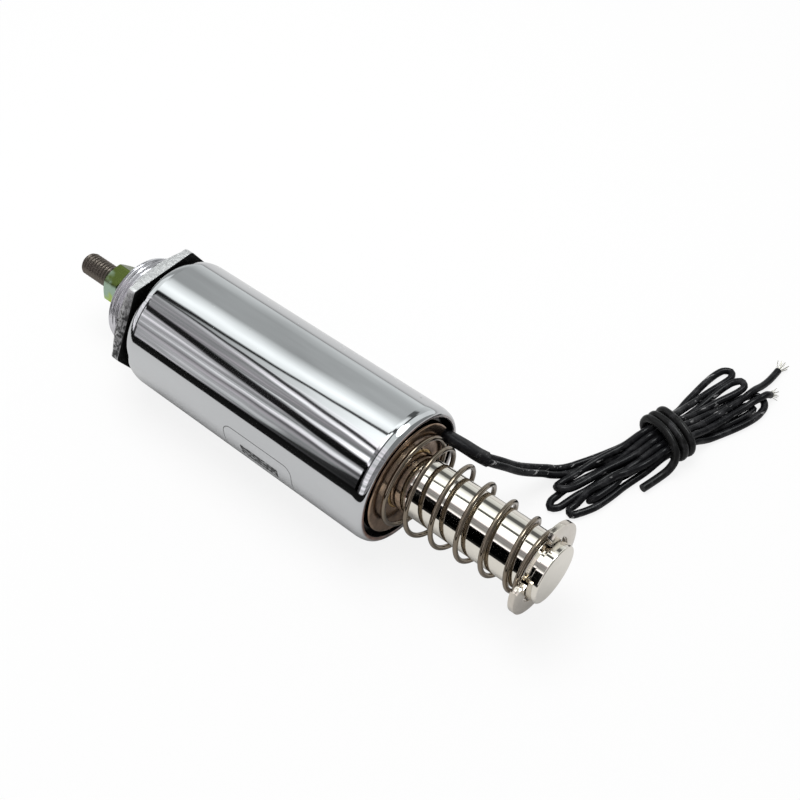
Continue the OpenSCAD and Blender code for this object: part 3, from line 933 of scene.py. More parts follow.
@dataclass
class Studio:
    """Pale floor, plain soft light, the camera, and the room that the bright metal mirrors.

    Attributes:
        eye: Where the camera stands.
        right: The direction of the picture's right side.
        down: The direction of the picture's lower side.
        ahead: The direction that the camera looks in.
        lens: Its focal length for a 36 mm wide sensor.
        mat_y: The pale mat's near edge, which only reflections show.
        key: Power of the soft light above.
        fill: Strength of the even light from all round.
    """

    eye: Point = (140.14, -95.96, 164.79)
    right: Point = (0.76389511, 0.64534042, 0.0)
    down: Point = (0.48777735, -0.57738632, -0.65475056)
    ahead: Point = (-0.422537, 0.50016075, -0.75584503)
    lens: float = 51.39
    mat_y: float = -98.0
    key: float = 1.6
    fill: float = 0.62
    cards: tuple[Card, ...] = (
        Card((-180, -180, -180), (-146, -146, -146), (1.0, 0.9), 12),
        Card((-146, -146, -146), (-128, -128, -128), (1.5, 1.3), 8),
        Card((-76, -76, -76), (-19, -22, -29), (0.5, 0.6), 20),
        Card((-19, -22, -29), (4, 1, -6), (1.6, 1.6), 20),
        Card((4, 1, -6), (12, 14, 22), (0.3, 1.6), 3),
        Card((12, 20, 26), (15, 24, 30.5), (0.5, 1.8), 2.5),
        Card((11, 14, 20.5), (13, 18.5, 25), (0.06, 0.06), 2),
        Card((15, 24.5, 31), (33, 41, 40), (0.42, 0.34), 3),
        Card((5, 1, -7), (11, 4.5, -2.5), (0.02, 0.07), 2),
        Card((38, 39, 38), (38, 40.5, 45.5), (0.8, 1.9), 2),
        Card((33, 41, 46), (43, 52, 58), (0.02, 0.01), 3),
        Card((44, 53, 58), (92, 88, 76), (0.58, 0.36), 4),
        Card((50, 51, 52), (54, 53, 53), (1.1, 1.1), 3, (-0.25, 0.34)),
        Card((61, 59, 60), (64, 65, 65.5), (0.85, 1.4), 3),
        Card((67, 67, 67), (70, 70, 71), (0.28, 0.1), 3),
        Card((79, 79, 79), (86, 84, 81), (0.85, 0.85), 3, (0.12, 0.66)),
        Card((90, 87.5, 75), (102, 102, 98), (0.13, 0.03), 3),
        Card((92, 91, 90), (96, 95, 95), (0.05, 0.005), 2),
        Card((-66, -66, -66), (-48, -48, -48), (0.12, 0.12), 5, (1.13, 2.0)),
        Card((18, 18, 18), (44, 44, 44), (0.3, 0.3), 9, (1.16, 2.0)),
        Card((58, 58, 58), (102, 102, 102), (0.0, 0.0), 3, (1.13, 2.0)),
        Card((-60, -60, -60), (92, 92, 92), (0.1, 0.1), 8, (2.0, 2.5)),
        Card((-90, -90, -90), (92, 92, 92), (1.0, 1.0), 8, (2.5, 4.6)),
        Card((-90, -90, -90), (92, 92, 92), (0.3, 0.3), 8, (4.6, 9.0)),
        Card((74, 74, 74), (106, 106, 106), (0.05, 0.05), 6, (-0.27, -0.05)),
        Card((24, 24, 24), (104, 104, 104), (0.08, 0.08), 6, (-0.6, -0.27)),
        Card((-40, -40, -40), (92, 92, 92), (1.1, 1.1), 8, (-1.7, -0.6)),
        Card((-40, -40, -40), (92, 92, 92), (0.2, 0.2), 8, (-3.0, -1.7)),
    )
    softbox: Point = (0.05, 0.38, 0.92)

    def camera(self) -> None:
        """Makes the camera."""
        data = bpy.data.cameras.new("camera")
        data.lens, data.sensor_width = self.lens, 36.0
        data.clip_start, data.clip_end = 0.01, 10.0
        made = bpy.data.objects.new("camera", data)
        turn = Matrix([self.right, [-c for c in self.down], [-c for c in self.ahead]]).transposed()
        made.matrix_world = Matrix.Translation(Vector(self.eye) * MM) @ turn.to_4x4()
        bpy.context.scene.collection.objects.link(made)
        bpy.context.scene.camera = made

    def floor(self) -> None:
        """Lays the floor: white to the eye, with the object's soft shadow."""
        size = 3.0
        mesh = bpy.data.meshes.new("floor")
        corners = [(x, y, FLOOR * MM) for x, y in ((-size, -size), (size, -size), (size, size), (-size, size))]
        mesh.from_pydata(corners, [], [(0, 1, 2, 3)])
        material = bpy.data.materials.new("floor_sheet")
        material.use_nodes = True
        material.node_tree.nodes.clear()
        g = Graph(material.node_tree)
        _, y, _ = g.axes(g.out("ShaderNodeTexCoord", at="Object"))
        path = g.node("ShaderNodeLightPath")
        seen, mirrored = Value(g, path.outputs["Is Camera Ray"]), Value(g, path.outputs["Is Glossy Ray"])
        mat = y.over(self.mat_y * MM, 0.006)
        sheet = g.mix(mirrored, (0.8, 0.8, 0.8), (0.66, 0.66, 0.66))
        shade = g.mix(mirrored * (1 - mat), sheet, (0.01, 0.01, 0.01))
        matt = g.out("ShaderNodeBsdfDiffuse", None, {"Color": shade})
        glow = g.out("ShaderNodeEmission", None, {"Color": (1.0, 1.0, 1.0, 1.0), "Strength": 1.0})
        lit = seen * 0.84
        mixed = g.out("ShaderNodeMixShader", None, {0: lit, 1: matt, 2: glow})
        g.node("ShaderNodeOutputMaterial", None, {"Surface": mixed})
        mesh.materials.append(material)
        made = bpy.data.objects.new("floor", mesh)
        bpy.context.scene.collection.objects.link(made)

    def room(self) -> None:
        """Makes the world: white behind the object, and cards where metal mirrors the room."""
        world = bpy.data.worlds.new("room")
        world.use_nodes = True
        world.node_tree.nodes.clear()
        world.cycles.sampling_method = "NONE"
        g = Graph(world.node_tree)
        x, y, z = g.axes(g.out("ShaderNodeTexCoord", at="Generated"))
        turn = (-y).call("ARCTAN2", z) * (180 / math.pi)
        along = (x + 0.61) / 0.19
        held = along.call("MAXIMUM", -0.4).call("MINIMUM", 1.5)
        wobble = g.noise(g.joined(held * 5.0, turn * 0.03, 2.0), 1.0, 3.0) - 0.5
        turn = turn + wobble * 4.0
        level: Value | float = 0.85
        for card in self.cards:
            inside = turn.over(bent(held, card.low), card.soft) * (1 - turn.over(bent(held, card.high), card.soft))
            if card.span[0] > -9.0:
                inside = inside * along.over(card.span[0], 0.08) * (1 - along.over(card.span[1], 0.08))
            front, rear = card.level
            own = front if front == rear else (held * (rear - front) + front).call("MAXIMUM", 0.0)
            level = inside * own + (1 - inside) * level
        streaks = g.noise(g.joined(turn * 0.16, held * 0.35, 0.0), 1.6, 5.0, 0.75)
        fine = g.noise(g.joined(turn * 0.5, held * 0.5, 4.0), 2.0, 2.0)
        haze = g.noise(g.joined(turn * 0.05, held * 3.0, 7.0), 1.0, 4.0)
        streaked = turn.over(14.0, 8.0) * (1 - turn.over(90.0, 6.0))
        gain = 1 + streaked * ((streaks - 0.5) * 2.6 + (fine - 0.5) * 1.6) + (haze - 0.5) * 0.5
        level = level * gain.call("MAXIMUM", 0.12)
        box = g.node("ShaderNodeVectorMath", {"operation": "DOT_PRODUCT"}, {0: g.joined(x, y, z), 1: self.softbox})
        near = Value(g, box.outputs["Value"]).over(0.975, 0.02)
        level = level + near * 9.0
        tint = g.mix(streaks.over(0.5, 0.2) * streaked, (0.965, 1.0, 1.0), (1.0, 0.94, 1.0))
        cards = g.out("ShaderNodeVectorMath", {"operation": "SCALE"}, {0: tint, 3: level})
        path = g.node("ShaderNodeLightPath")
        seen = (Value(g, path.outputs["Is Camera Ray"]) + Value(g, path.outputs["Is Transmission Ray"])).clamped()
        mirrored = Value(g, path.outputs["Is Glossy Ray"])
        even = g.mix(mirrored, (self.fill,) * 3, cards)
        sky = g.out("ShaderNodeBackground", None, {"Color": g.mix(seen, even, (1.0, 1.0, 1.0)), "Strength": 1.0})
        g.node("ShaderNodeOutputWorld", None, {"Surface": sky})
        bpy.context.scene.world = world

    def light(self) -> None:
        """Hangs one large soft light above."""
        data = bpy.data.lights.new("key", "AREA")
        data.shape, data.size, data.energy = "DISK", 0.35, self.key
        made = bpy.data.objects.new("key", data)
        made.location = (-0.05, 0.05, 0.45)
        aim = Vector((0.045, 0.01, 0.0)) - made.location
        made.rotation_euler = aim.to_track_quat("-Z", "Y").to_euler()
        made.visible_glossy = False
        bpy.context.scene.collection.objects.link(made)

    def build(self) -> None:
        """Makes everything that isn't the object, apart from the camera."""
        self.floor()
        self.room()
        self.light()
        bpy.context.scene.view_settings.view_transform = "Standard"


# ---------------------------------------------------------------- leads


@dataclass
class Cord:
    """A round cord along a line of points, in millimetres.

    Attributes:
        name: Its name.
        line: Its centre line.
        diameter: Its diameter.
    """

    name: str
    line: np.ndarray
    diameter: float

    def curve(self) -> bpy.types.Curve:
        """The cord as a curve of one open spline, with its ends closed."""
        made = bpy.data.curves.new(self.name, "CURVE")
        made.dimensions = "3D"
        made.bevel_depth = self.diameter / 2 * MM
        made.bevel_resolution = 5
        made.use_fill_caps = True
        spline = made.splines.new("POLY")
        spline.points.add(len(self.line) - 1)
        flat = np.column_stack([self.line * MM, np.ones(len(self.line))])
        spline.points.foreach_set("co", flat.astype(np.float32).ravel())
        spline.use_smooth = True
        return made

    def length(self) -> float:
        """The cord's length, in millimetres."""
        return float(np.linalg.norm(np.diff(self.line, axis=0), axis=1).sum())


def smooth_line(points: Sequence[Point], step: float) -> np.ndarray:
    """A curve through points, sampled evenly.

    Args:
        points: The points.
        step: Distance between the samples.

    Returns:
        The samples, one a row.
    """
    p = np.array(points, float)
    p = np.vstack([2 * p[0] - p[1], p, 2 * p[-1] - p[-2]])
    t = np.linspace(0, 1, 24, endpoint=False)[:, None]
    runs = []
    for a, b, c, d in zip(p, p[1:], p[2:], p[3:]):
        runs.append(0.5 * (2 * b + (c - a) * t + (2 * a - 5 * b + 4 * c - d) * t**2 + (3 * b - a - 3 * c + d) * t**3))
    dense = np.vstack([*runs, p[-2:-1]])
    return evenly(dense, step)


def evenly(line: np.ndarray, step: float) -> np.ndarray:
    """The same line, with its points an even step apart."""
    along = np.concatenate([[0], np.cumsum(np.linalg.norm(np.diff(line, axis=0), axis=1))])
    at = np.linspace(0, along[-1], max(2, round(along[-1] / step) + 1))
    return np.column_stack([np.interp(at, along, line[:, k]) for k in range(3)])


@dataclass
class Leads:
    """The two leads from the rear plate, their sleeve, the hank they are folded in and its tie.

    The hank has a frame of its own: u runs along it, v across it towards -Y, and h is the
    height above the floor.

    Attributes:
        diameter: Of each lead.
        tie_diameter: Of the tie's cord.
        sleeve_size: Width and height of the sleeve.
        hank_at: The middle of the tie, in X and Y.
        hank_turn: The hank's direction, in degrees.
        exit_line: Middle line of the pair from inside the plate to the sleeve's mouth.
        drop_line: Middle line of the pair from there to the hank.
        far_folds: Route of lead a in the hank.
        near_folds: Route of lead b in the hank.
        tie_line: Route of the tie.
    """

    diameter: float = 1.5
    tie_diameter: float = 1.7
    sleeve_size: tuple[float, float] = (3.4, 2.1)
    hank_at: tuple[float, float] = (88.5, 47.2)
    hank_turn: float = 74.3
    exit_line: tuple[Point, ...] = (
        (57.5, 10.8, 1.9), (60.0, 10.8, 1.9), (62.5, 10.9, 1.8), (65.0, 11.4, 1.2), (67.5, 12.2, 0.0), (69.0, 13.2, -1.2)
    )
    drop_line: tuple[Point, ...] = (
        (70.8, 15.8, -3.6), (72.5, 19.0, -6.8), (74.3, 22.8, -9.6), (76.3, 26.6, -11.8), (78.5, 30.4, -12.9)
    )
    lead_a_folds: tuple[Point, ...] = (
        (-13.2, -3.3, 1.2), (-9, -2.5, 1.8), (-4, -1.7, 2.4), (0, -1.5, 2.45), (4, -1.8, 2.4), (9, -2.7, 1.8),
        (15, -3.6, 1.9), (20, -3.9, 2.8), (23.2, -3.2, 3.6), (23.9, -1.8, 3.7), (22.2, -0.6, 3.5), (17, -0.6, 3.2),
        (10, -0.9, 3.3), (4, -1.3, 3.8), (0, -1.5, 3.9), (-4, -1.6, 3.6), (-10, -1.9, 2.3), (-17, -2.2, 1.1),
        (-24, -2.3, 0.8), (-28.4, -1.9, 0.75), (-29.6, -0.7, 0.75), (-28.2, 0.4, 0.75), (-24, 0.4, 0.75),
        (-17, 0.2, 0.8), (-10, 0.1, 1.2), (-4, 0, 2.3), (0, 0, 2.45), (4, 0.3, 2.3), (10, 1.0, 1.2),
        (16, 1.3, 0.9), (20.5, 1.8, 0.8), (22.2, 3.0, 0.75), (20.3, 4.1, 0.75), (15, 3.8, 0.75), (9, 2.8, 1.0),
        (4, 1.8, 2.2), (0, 1.5, 2.45), (-4, 1.5, 2.2), (-10, 1.5, 1.0), (-17, 1.6, 0.75), (-21.4, 1.7, 0.8),
        (-22.8, 2.3, 1.4), (-21.2, 2.7, 2.2), (-17, 2.3, 2.6), (-10, 1.0, 3.1), (-4, 1.4, 3.8), (0, 1.5, 3.9),
        (5, 1.4, 3.9), (12, 1.0, 3.6), (20.7, 0.5, 2.9), (25.9, 0.5, 2.3), (29.9, -0.2, 1.7), (34.1, -1.5, 1.3),
    )
    lead_b_folds: tuple[Point, ...] = (
        (-12.8, -4.9, 1.1), (-9, -4.1, 1.7), (-4, -3.2, 2.4), (0, -3.0, 2.45), (4, -3.5, 2.3), (9, -5.0, 1.4),
        (15, -6.7, 0.9), (20.5, -7.9, 0.75), (24.2, -7.9, 0.8), (25.4, -6.5, 0.9), (24.0, -5.2, 0.9),
        (18, -5.1, 1.3), (10, -4.3, 2.7), (4, -3.2, 3.8), (0, -3.0, 3.9), (-4, -3.1, 3.8), (-10, -3.4, 3.0),
        (-17, -3.8, 2.6), (-23, -4.0, 2.4), (-26.2, -3.4, 2.3), (-26.0, -2.2, 2.3), (-23, -1.6, 2.4),
        (-17, -1.2, 2.8), (-10, -0.8, 3.2), (-4, -0.2, 3.8), (0, 0, 3.9), (5, 0.1, 3.9), (11, 0.2, 3.5),
        (17, 0.1, 2.8), (22, 0.0, 2.0), (25.2, 1.2, 1.3), (25.0, 3.4, 0.9), (22.4, 5.0, 0.75), (17, 5.3, 0.75),
        (12, 4.7, 0.8), (6, 3.6, 1.9), (2, 3.05, 2.45), (0, 3.0, 2.45), (-4, 3.0, 2.2), (-10, 3.2, 1.0),
        (-18, 3.6, 0.75), (-24, 3.7, 0.75), (-27.4, 2.7, 0.8), (-27.0, 1.5, 1.1), (-24, 1.2, 1.7),
        (-18, 1.6, 2.9), (-11, 2.5, 3.7), (-4, 3.0, 3.9), (0, 3.0, 3.9), (5, 2.9, 3.8), (12, 2.7, 3.4),
        (19.2, 2.6, 3.0), (23.5, 2.9, 2.2), (27.6, 2.8, 1.6),
    )
    tie_line: tuple[Point, ...] = (
        (2.2, 2.0, 0.86), (2.3, -1.0, 0.86), (2.4, -4.0, 1.3), (2.5, -5.2, 3.0), (2.4, -4.4, 5.2), (2.1, -1.5, 6.2),
        (1.9, 1.5, 6.2), (1.6, 4.4, 5.2), (1.4, 5.2, 3.0), (1.2, 4.0, 1.3), (0.8, 1.0, 0.86), (0.6, -1.6, 0.86),
        (0.4, -4.0, 1.3), (0.3, -5.2, 3.0), (0.3, -4.4, 5.2), (0.2, -1.5, 6.2), (0.0, 1.5, 6.2), (-0.3, 4.4, 5.2),
        (-0.5, 5.2, 3.0), (-0.8, 4.0, 1.3), (-1.2, 1.0, 0.86), (-1.4, -1.6, 0.86), (-1.5, -4.0, 1.3),
        (-1.5, -5.2, 3.0), (-1.4, -4.4, 5.2), (-1.5, -1.5, 6.2), (-1.8, 1.5, 6.2), (-2.4, 4.4, 5.0),
        (-3.1, 5.4, 3.2), (-4.4, 5.6, 1.6), (-6.2, 5.6, 0.95), (-8.6, 5.7, 0.86), (-11.3, 5.8, 0.86),
    )

    def to_part(self, points: Iterable[Point]) -> np.ndarray:
        """Takes points from the hank's frame to the part's."""
        turn = math.radians(self.hank_turn)
        u, v, h = np.array(list(points), float).T
        x = self.hank_at[0] + u * math.cos(turn) + v * math.sin(turn)
        y = self.hank_at[1] + u * math.sin(turn) - v * math.cos(turn)
        return np.column_stack([x, y, h + FLOOR])

    def to_hank(self, points: np.ndarray) -> np.ndarray:
        """Takes points from the part's frame to the hank's."""
        turn = math.radians(self.hank_turn)
        dx, dy = points[:, 0] - self.hank_at[0], points[:, 1] - self.hank_at[1]
        u = dx * math.cos(turn) + dy * math.sin(turn)
        v = dx * math.sin(turn) - dy * math.cos(turn)
        return np.column_stack([u, v, points[:, 2] - FLOOR])

    def pair(self, side: float) -> list[Point]:
        """One lead's points from the plate to the hank.

        Args:
            side: 1 for the lead that lies towards -Y, and -1 for the other.

        Returns:
            The points, in the part's frame.
        """
        middle = np.array([*self.exit_line, *self.drop_line])
        share = np.clip(np.arange(len(middle)) / (len(self.exit_line) - 1), 0, 1)[:, None]
        across = (1 - share) * np.array([0, -0.7, 0.7]) + share * np.array([0.86, -0.5, 0])
        ahead = np.gradient(middle, axis=0)
        ahead /= np.linalg.norm(ahead, axis=1)[:, None]
        across -= (across * ahead).sum(1)[:, None] * ahead
        across /= np.linalg.norm(across, axis=1)[:, None]
        return [tuple(p) for p in middle + across * side * (self.diameter / 2 + 0.01)]

    def settle(self, lines: Sequence[np.ndarray], held: int, rounds: int = 90) -> list[np.ndarray]:
        """Lets the folded leads sink and push each other aside until they lie clear.

        Args:
            lines: Their centre lines.
            held: Points at each line's start that stay put.
            rounds: How often the pushes are repeated.

        Returns:
            The settled lines.
        """
        radius, gap = self.diameter / 2, self.diameter + 0.03
        points = np.vstack(lines)
        owner = np.concatenate([np.full(len(q), k) for k, q in enumerate(lines)])
        order = np.concatenate([np.arange(len(q)) for q in lines])
        fixed = order < held
        apart = (owner[:, None] != owner[None]) | (np.abs(order[:, None] - order[None]) > 4)
        ends = np.cumsum([len(q) for q in lines])
        rests = [np.linalg.norm(np.diff(q, axis=0), axis=1) for q in lines]
        for _ in range(rounds):
            for a, b, rest in zip([0, *ends[:-1]], ends, rests):
                run, free = points[a:b], ~fixed[a:b, None]
                mid = (run[:-2] + run[2:]) / 2
                run[1:-1] += 0.2 * (mid - run[1:-1]) * free[1:-1]
                for _ in range(3):
                    step = np.diff(run, axis=0)
                    long = np.linalg.norm(step, axis=1)
                    pull = step * ((long - rest) / long * 0.45)[:, None]
                    run[:-1] += pull * free[:-1]
                    run[1:] -= pull * free[1:]
            points[~fixed, 2] -= 0.012
            for _ in range(2):
                away = points[:, None] - points[None]
                far = np.sqrt((away**2).sum(2)) + 1e-9
                push = np.where(apart & (far < gap), (gap - far) / far * 0.5, 0.0)
                hits = np.maximum((push > 0).sum(1), 1)[:, None]
                shift = (push[:, :, None] * away).sum(1) / hits**0.5
                points += shift * ~fixed[:, None]
            hank = self.to_hank(points)
            under = np.clip(1 - (np.abs(hank[:, 0]) - 3.4) / 5.0, 0, 1)
            low = radius + self.tie_diameter * under * under * (3 - 2 * under)
            hank[:, 2] = np.maximum(hank[:, 2], low)
            waist = np.abs(hank[:, 0]) < 3.6
            hank[waist, 1] = np.clip(hank[waist, 1], -3.55, 3.55)
            hank[waist, 2] = np.minimum(hank[waist, 2], 4.75)
            points[~fixed] = self.to_part(hank)[~fixed]
        return np.split(points, ends[:-1])

    def sleeve(self) -> bpy.types.Mesh:
        """The flat sleeve round both leads, open at its mouth."""
        middle = smooth_line(self.exit_line, 0.5)
        ahead = np.gradient(middle, axis=0)
        ahead /= np.linalg.norm(ahead, axis=1)[:, None]
        share = np.linspace(0, 1, len(middle))[:, None]
        wide = (1 - share) * np.array([0, -0.7, 0.7]) + share * np.array([0.86, -0.5, 0])
        wide -= (wide * ahead).sum(1)[:, None] * ahead
        wide /= np.linalg.norm(wide, axis=1)[:, None]
        high = np.cross(ahead, wide)
        sides, half_w, half_h = 40, self.sleeve_size[0] / 2, self.sleeve_size[1] / 2
        turn = np.arange(sides) * (2 * math.pi / sides)
        rows = []
        order = [(i, 1.0) for i in range(len(middle))] + [(i, 0.9) for i in range(len(middle) - 1, -1, -1)]
        for i, grow in order:
            cos, sin = np.cos(turn)[:, None], np.sin(turn)[:, None]
            straight = (half_w - half_h) * np.sign(cos) * np.minimum(1, np.abs(cos) * 4)
            ring = middle[i] + wide[i] * (straight + half_h * grow * cos) + high[i] * half_h * grow * sin
            rows.append(ring * MM)
        build = bmesh.new()
        grid = [[build.verts.new(p) for p in row] for row in rows]
        for low, top in zip(grid, [*grid[1:], grid[0]]):
            for i in range(sides):
                j = (i + 1) % sides
                build.faces.new([low[i], low[j], top[j], top[i]])
        bmesh.ops.recalc_face_normals(build, faces=build.faces)
        mesh = bpy.data.meshes.new("lead_sleeve")
        build.to_mesh(mesh)
        build.free()
        return mesh

    def strands(self, tree: StrandTree, line: np.ndarray, seed: int, long: float) -> bpy.types.Mesh:
        """The stripped end of a lead.

        Args:
            tree: The tree that makes the strands.
            line: The lead's line, whose last point they stand on.
            seed: For their lean.
            long: Their length.

        Returns:
            The mesh, in its place.
        """
        sizes = {"strands": 13, "length": long * MM, "bundle": 0.34 * MM, "flare": 0.5, "wire": 0.09 * MM}
        mesh = tree.run(Finishes.tinned, seed=seed, **sizes)
        ahead = Vector(line[-1] - line[-4]).normalized()
        turn = ahead.to_track_quat("Z", "Y").to_matrix().to_4x4()
        start = (Vector(line[-1]) - ahead * 0.25) * MM
        mesh.transform(Matrix.Translation(start) @ turn)
        for v in mesh.vertices:
            v.co.z = max(v.co.z, (FLOOR + 0.05) * MM)
        return mesh

    def build(self) -> None:
        joined = []
        for side, folds in ((1.0, self.lead_a_folds), (-1.0, self.lead_b_folds)):
            route = [*self.pair(side), *map(tuple, self.to_part(folds))]
            joined.append(smooth_line(route, 0.9))
        held = round(30.0 / 0.9)
        settled = self.settle(joined, held)
        cords = [Cord(n, smooth_line(q[::2], 0.6), self.diameter) for n, q in zip(("lead_a", "lead_b"), settled)]
        for cord in cords:
            cord.line[:, 2] = np.maximum(cord.line[:, 2], FLOOR + self.diameter / 2)
        made = [Piece(f"{c.name}_cord", c.curve(), Finishes.lead, Body.HOUSING, (c.name,)).place() for c in cords]
        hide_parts("lead_hank")
        sleeve = Piece("lead_sleeve_skin", self.sleeve(), Finishes.sleeve, Body.HOUSING, ("lead_sleeve",)).place()
        tree = StrandTree("stripped_strands")
        ends = []
        for letter, cord, seed, long in (("a", cords[0], 3, 2.6), ("b", cords[1], 8, 2.2)):
            mesh = self.strands(tree, cord.line, seed, long)
            node = f"strand_end_{letter}"
            ends.append(Piece(f"strands_{letter}", mesh, Finishes.tinned, Body.HOUSING, (node,)).place())
        tie = Cord("tie", smooth_line(self.to_part(self.tie_line), 0.5), self.tie_diameter)
        tied = Piece(tie.name, tie.curve(), Finishes.tie, Body.HOUSING, ("hank_tie",)).place()
        for cord, lead, pieces in ((cords[0], made[0], [sleeve, ends[0]]), (cords[1], made[1], [ends[1]])):
            sizes = {"length": cord.length() * MM, "diameter": cord.diameter * MM}
            start = tuple(cord.line[0] * MM)
            log.info("%s is %.0f mm long", cord.name, cord.length())
        sizes = {"length": tie.length() * MM, "diameter": tie.diameter * MM}
        tuple(tie.line[0] * MM)
        log.info("tie is %.0f mm long", tie.length())


# ---------------------------------------------------------------- metal pieces


@dataclass
class Can:
    """The deep-drawn can and the plate in its rear end.

    Attributes:
        radius: Outside radius.
        bore: Inside radius.
        length: Its length.
        front: Thickness of its front end.
        hole: Radius of the hole for the boss.
        edge: How far the rounding of the outer edges reaches inwards.
        sweep: How far it reaches along the can.
        lip: Chamfer inside the rear lip.
    """

    radius: float = 14.0
    bore: float = 12.5
    length: float = 61.5
    front: float = 2.0
    hole: float = 9.695
    edge: float = 0.9
    sweep: float = 2.4
    lip: float = 0.25

    def shell(self) -> bpy.types.Mesh:
        """The can itself."""
        rear = rounded(self.length - self.sweep, self.radius - self.edge, self.edge, 0, 90, 14, self.sweep)
        face = rounded(self.sweep, self.radius - self.edge, self.edge, 90, 180, 14, self.sweep)
        inner = [
            (0.0, self.hole), (self.front, self.hole), (self.front, self.bore),
            (self.length - self.lip, self.bore), (self.length, self.bore + self.lip),
        ]
        return lathe([*inner, *rear, *face], 256)

    def build(self) -> None:
        """Makes the can and the rear plate."""
        Piece("can", self.shell(), Finishes.can, Body.HOUSING, ("can_shell",), 35).place()
        plate = softened("rear_plate", 0.12)
        Piece("rear_plate_skin", plate, Finishes.plate, Body.HOUSING, ("rear_plate",)).place()


@dataclass
class HexNut:
    """A hexagon nut along X.

    Attributes:
        start: Where it starts.
        thick: Its thickness.
        flats: Its width across flats.
        bore: Radius of its hole.
        corner: Angle of one corner from +Y, in degrees.
        back: Whether its rear face is chamfered too.
        band: Length of a tapered band at the front of the flats.
        band_in: How far the band tapers in.
    """

    start: float
    thick: float
    flats: float
    bore: float
    corner: float
    back: bool = True
    band: float = 0.0
    band_in: float = 0.0

    def mesh(self, sides: int = 180) -> bpy.types.Mesh:
        """Builds it from rings whose radius follows the hexagon."""
        half = self.flats / 2
        end = self.start + self.thick
        limit = half / math.cos(math.radians(30)) - 0.005 * self.flats
        flat = half - 0.01 * self.flats
        slope = math.tan(math.radians(30))

        def hexagon(inset: float) -> Shape:
            """Radius of the hexagon by angle, with broken corners."""
            def radius(angle: np.ndarray) -> np.ndarray:
                """The radius at each angle."""
                off = (np.degrees(angle) - self.corner) % 60 - 30
                return np.minimum((half - inset) / np.cos(np.radians(off)), limit - inset)
            return radius

        def chamfer(inset: float, side: float, extra: float) -> Shape:
            """Where the chamfer meets the flats, by angle, from one face."""
            outline = hexagon(inset)
            face = self.start if side > 0 else end
            return lambda angle: face + side * (np.maximum(outline(angle) - flat, 0) * slope + extra)

        wall = [(chamfer(self.band_in, 1, 0.0), hexagon(self.band_in)), (chamfer(self.band_in, 1, 0.08), hexagon(self.band_in))]
        if self.band:
            step = self.start + self.band
            wall += [(step, hexagon(0.02)), (step + 0.1, hexagon(0.0))]
        if self.back:
            wall += [(chamfer(0.0, -1, 0.08), hexagon(0.0)), (chamfer(0.0, -1, 0.0), hexagon(0.0)), (end, flat)]
        else:
            wall += [(end - 0.16, hexagon(0.0)), (end - 0.1, hexagon(0.0)), (end, hexagon(0.1)), (end, hexagon(0.2))]
        lead_in = 0.06 * self.bore
        hole = [(end, self.bore + lead_in), (end - lead_in, self.bore), (self.start + lead_in, self.bore), (self.start, self.bore + lead_in)]
        return loft([(self.start, flat - 0.05), (self.start, flat), *wall, *hole], sides, True)


@dataclass
class FrontEnd:
    """The threaded boss with its mounting nut, and the pole inside the can.

    Attributes:
        boss_radius: Radius over the boss thread.
        boss_end: Where the boss ends.
        pitch: Pitch of the thread.
        depth: Depth of the thread.
        rod_hole: Radius of the hole for the rod.
        nut: The mounting nut.
    """

    boss_radius: float = 9.88
    boss_end: float = -10.1
    pitch: float = 1.0
    depth: float = 0.5
    rod_hole: float = 2.3
    nut: HexNut = field(default_factory=lambda: HexNut(-4.0, 3.0, 26.0, 9.7, 0.0, False, 1.1, 0.3))

    def pole(self) -> bpy.types.Mesh:
        """Flange and fixed pole, with the conical seat."""
        hole = self.rod_hole
        return lathe([
            (2.02, hole), (2.02, 12.48), (5.0, 12.48), (5.0, 5.78), (24.0, 5.78), (24.0, 5.2), (20.8, 3.6), (20.8, hole)
        ], 128)

    def build(self, threads: ThreadTree) -> None:
        """Makes the boss, the pole and the nut.

        Args:
            threads: The tree that cuts threads.
        """
        sizes = {
            "start": self.boss_end * MM, "length": (2.0 - self.boss_end) * MM, "radius": self.boss_radius * MM,
            "depth": self.depth * MM, "pitch": self.pitch * MM, "chamfer": 0.7 * MM, "bore": self.rod_hole * MM,
        }
        boss = threads.run(Finishes.core, rows=130, sides=193, **sizes)
        Piece("boss", boss, Finishes.core, Body.HOUSING, ("front_core",), 62).place()
        Piece("pole", self.pole(), Finishes.core, Body.HOUSING).place()
        nut = self.nut.mesh(216)
        Piece("panel_nut", nut, Finishes.nut, Body.HOUSING, ("mounting_nut",)).place()


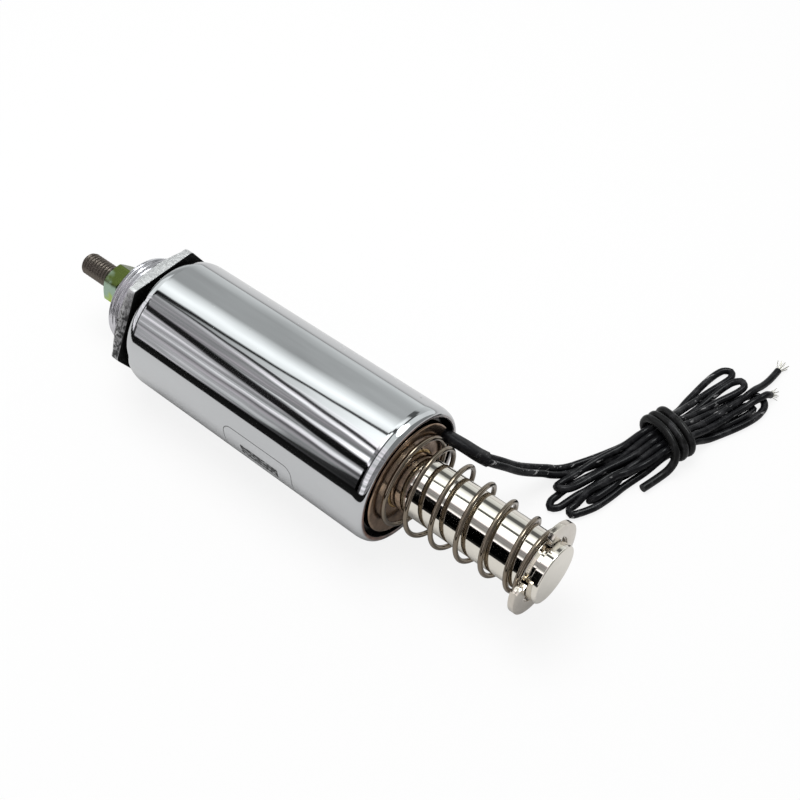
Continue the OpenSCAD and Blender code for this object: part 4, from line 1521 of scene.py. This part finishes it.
@dataclass
class Armature:
    """The plunger with its rod, the two rod nuts, the clip and the return spring.

    Attributes:
        radius: Radius of the plunger.
        nose: Where its nose starts.
        end: Where its head ends.
        groove: Start and end of the clip groove, and its radius.
        rod_radius: Radius over the rod's thread.
        rod_tip: Where the rod ends in front.
        rod_pitch: Pitch of its thread.
        nut_corner: Angle of a corner of the rod nuts from +Y.
    """

    radius: float = 5.75
    nose: float = 31.3
    end: float = 93.2
    groove: tuple[float, float, float] = (90.05, 91.3, 4.5)
    rod_radius: float = 2.5
    rod_tip: float = -27.5
    rod_pitch: float = 0.8
    nut_corner: float = 75.5

    def plunger(self) -> bpy.types.Mesh:
        """The plunger, with its conical nose, rod hole and clip groove."""
        edge, r = 0.3, self.radius
        x0, x1, deep = self.groove
        seat = [(self.nose, 2.27), (self.nose, 3.6), (self.nose + 3.2, 5.2), (self.nose + 3.2, r)]
        rim = [*rounded(x0 - 0.12, r - 0.12, 0.12, 90, 0, 3), (x0, deep), (x1, deep), *rounded(x1 + 0.12, r - 0.12, 0.12, 180, 90, 3)]
        head = rounded(self.end - edge, r - edge, edge, 90, 0, 5)
        return lathe([(self.nose + 12.5, 0.0), (self.nose + 12.5, 2.27), *seat, *rim, *head, (self.end, 0.0)], 192, 0.03)

    def spring(self, coils: CoilTree) -> bpy.types.Mesh:
        """The return spring, as the frame's spring is wound."""
        wire, closed, pitch = 0.95, 0.75, 5.1
        start, end = 61.5 + wire / 2 + 0.05, self.groove[0] + 0.05 - wire / 2 - 0.05
        turns = (end - start - 2 * closed * (wire + 0.02)) / pitch + 2 * closed
        large, small = 18.8 / 2 - wire / 2, self.radius + 0.2 + wire / 2
        sizes = {
            "start": start * MM, "end": end * MM, "turns": turns, "closed_turns": closed, "taper": 1.8,
            "closed_pitch": (wire + 0.02) * MM, "large_radius": large * MM, "small_radius": small * MM,
            "start_angle": math.radians(318), "wire": wire / 2 * MM,
        }
        return coils.run(Finishes.spring, steps=520, sides=20, **sizes)

    def build(self, threads: ThreadTree, coils: CoilTree) -> None:
        """Makes the armature's pieces.

        Args:
            threads: The tree that cuts threads.
            coils: The tree that winds springs.
        """
        Piece("plunger_skin", self.plunger(), Finishes.nickel, Body.ARMATURE, ("plunger",)).place()
        sizes = {
            "start": self.rod_tip * MM, "length": (self.nose + 12 - self.rod_tip) * MM, "radius": self.rod_radius * MM,
            "depth": 0.34 * MM, "pitch": self.rod_pitch * MM, "chamfer": 0.5 * MM, "bore": 0.0,
        }
        rod = threads.run(Finishes.rod, rows=714, sides=61, **sizes)
        Piece("rod", rod, Finishes.rod, Body.ARMATURE, ("push_rod",), 62).place()
        for name, start in (("stop_nut", -14.15), ("lock_nut", -18.17)):
            nut = HexNut(start, 4.0, 8.0, 2.27, self.nut_corner).mesh(120)
            Piece(f"{name}_skin", nut, Finishes.zinc, Body.ARMATURE, (name,)).place()
        Piece("clip", softened("e_clip", 0.16), Finishes.clip, Body.ARMATURE, ("e_clip",)).place()
        spring = Piece("spring", self.spring(coils), Finishes.spring, Body.HOUSING, ("return_spring",), 60).place()
        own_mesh(spring)


class InnerPieces:
    """The pieces inside the can, which keep their CAD shapes."""

    finishes: dict[str, Finish] = {
        "residual_washer": Finishes.brass,
        "guide_tube": Finishes.brass,
        "fibre_washer": Finishes.fibre,
        "bobbin": Finishes.nylon,
        "coil_winding": Finishes.copper,
        "coil_tape": Finishes.tape,
    }

    def build(self) -> None:
        """Gives each one its finish."""
        for node, finish in self.finishes.items():
            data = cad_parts[node].data
            data.materials.clear()
            data.materials.append(finish.make())
            log.info("%s: %s", node, finish.name)


def main() -> None:
    """Builds the scene, the camera and the cords first."""
    logging.basicConfig(level=logging.INFO, format="%(name)s: %(message)s")
    studio = Studio()
    studio.camera()
    Leads().build()
    studio.build()
    threads, coils = ThreadTree("cut_thread"), CoilTree("wound_spring")
    Can().build()
    FrontEnd().build(threads)
    Armature().build(threads, coils)
    InnerPieces().build()


if __name__ == "__main__":
    main()
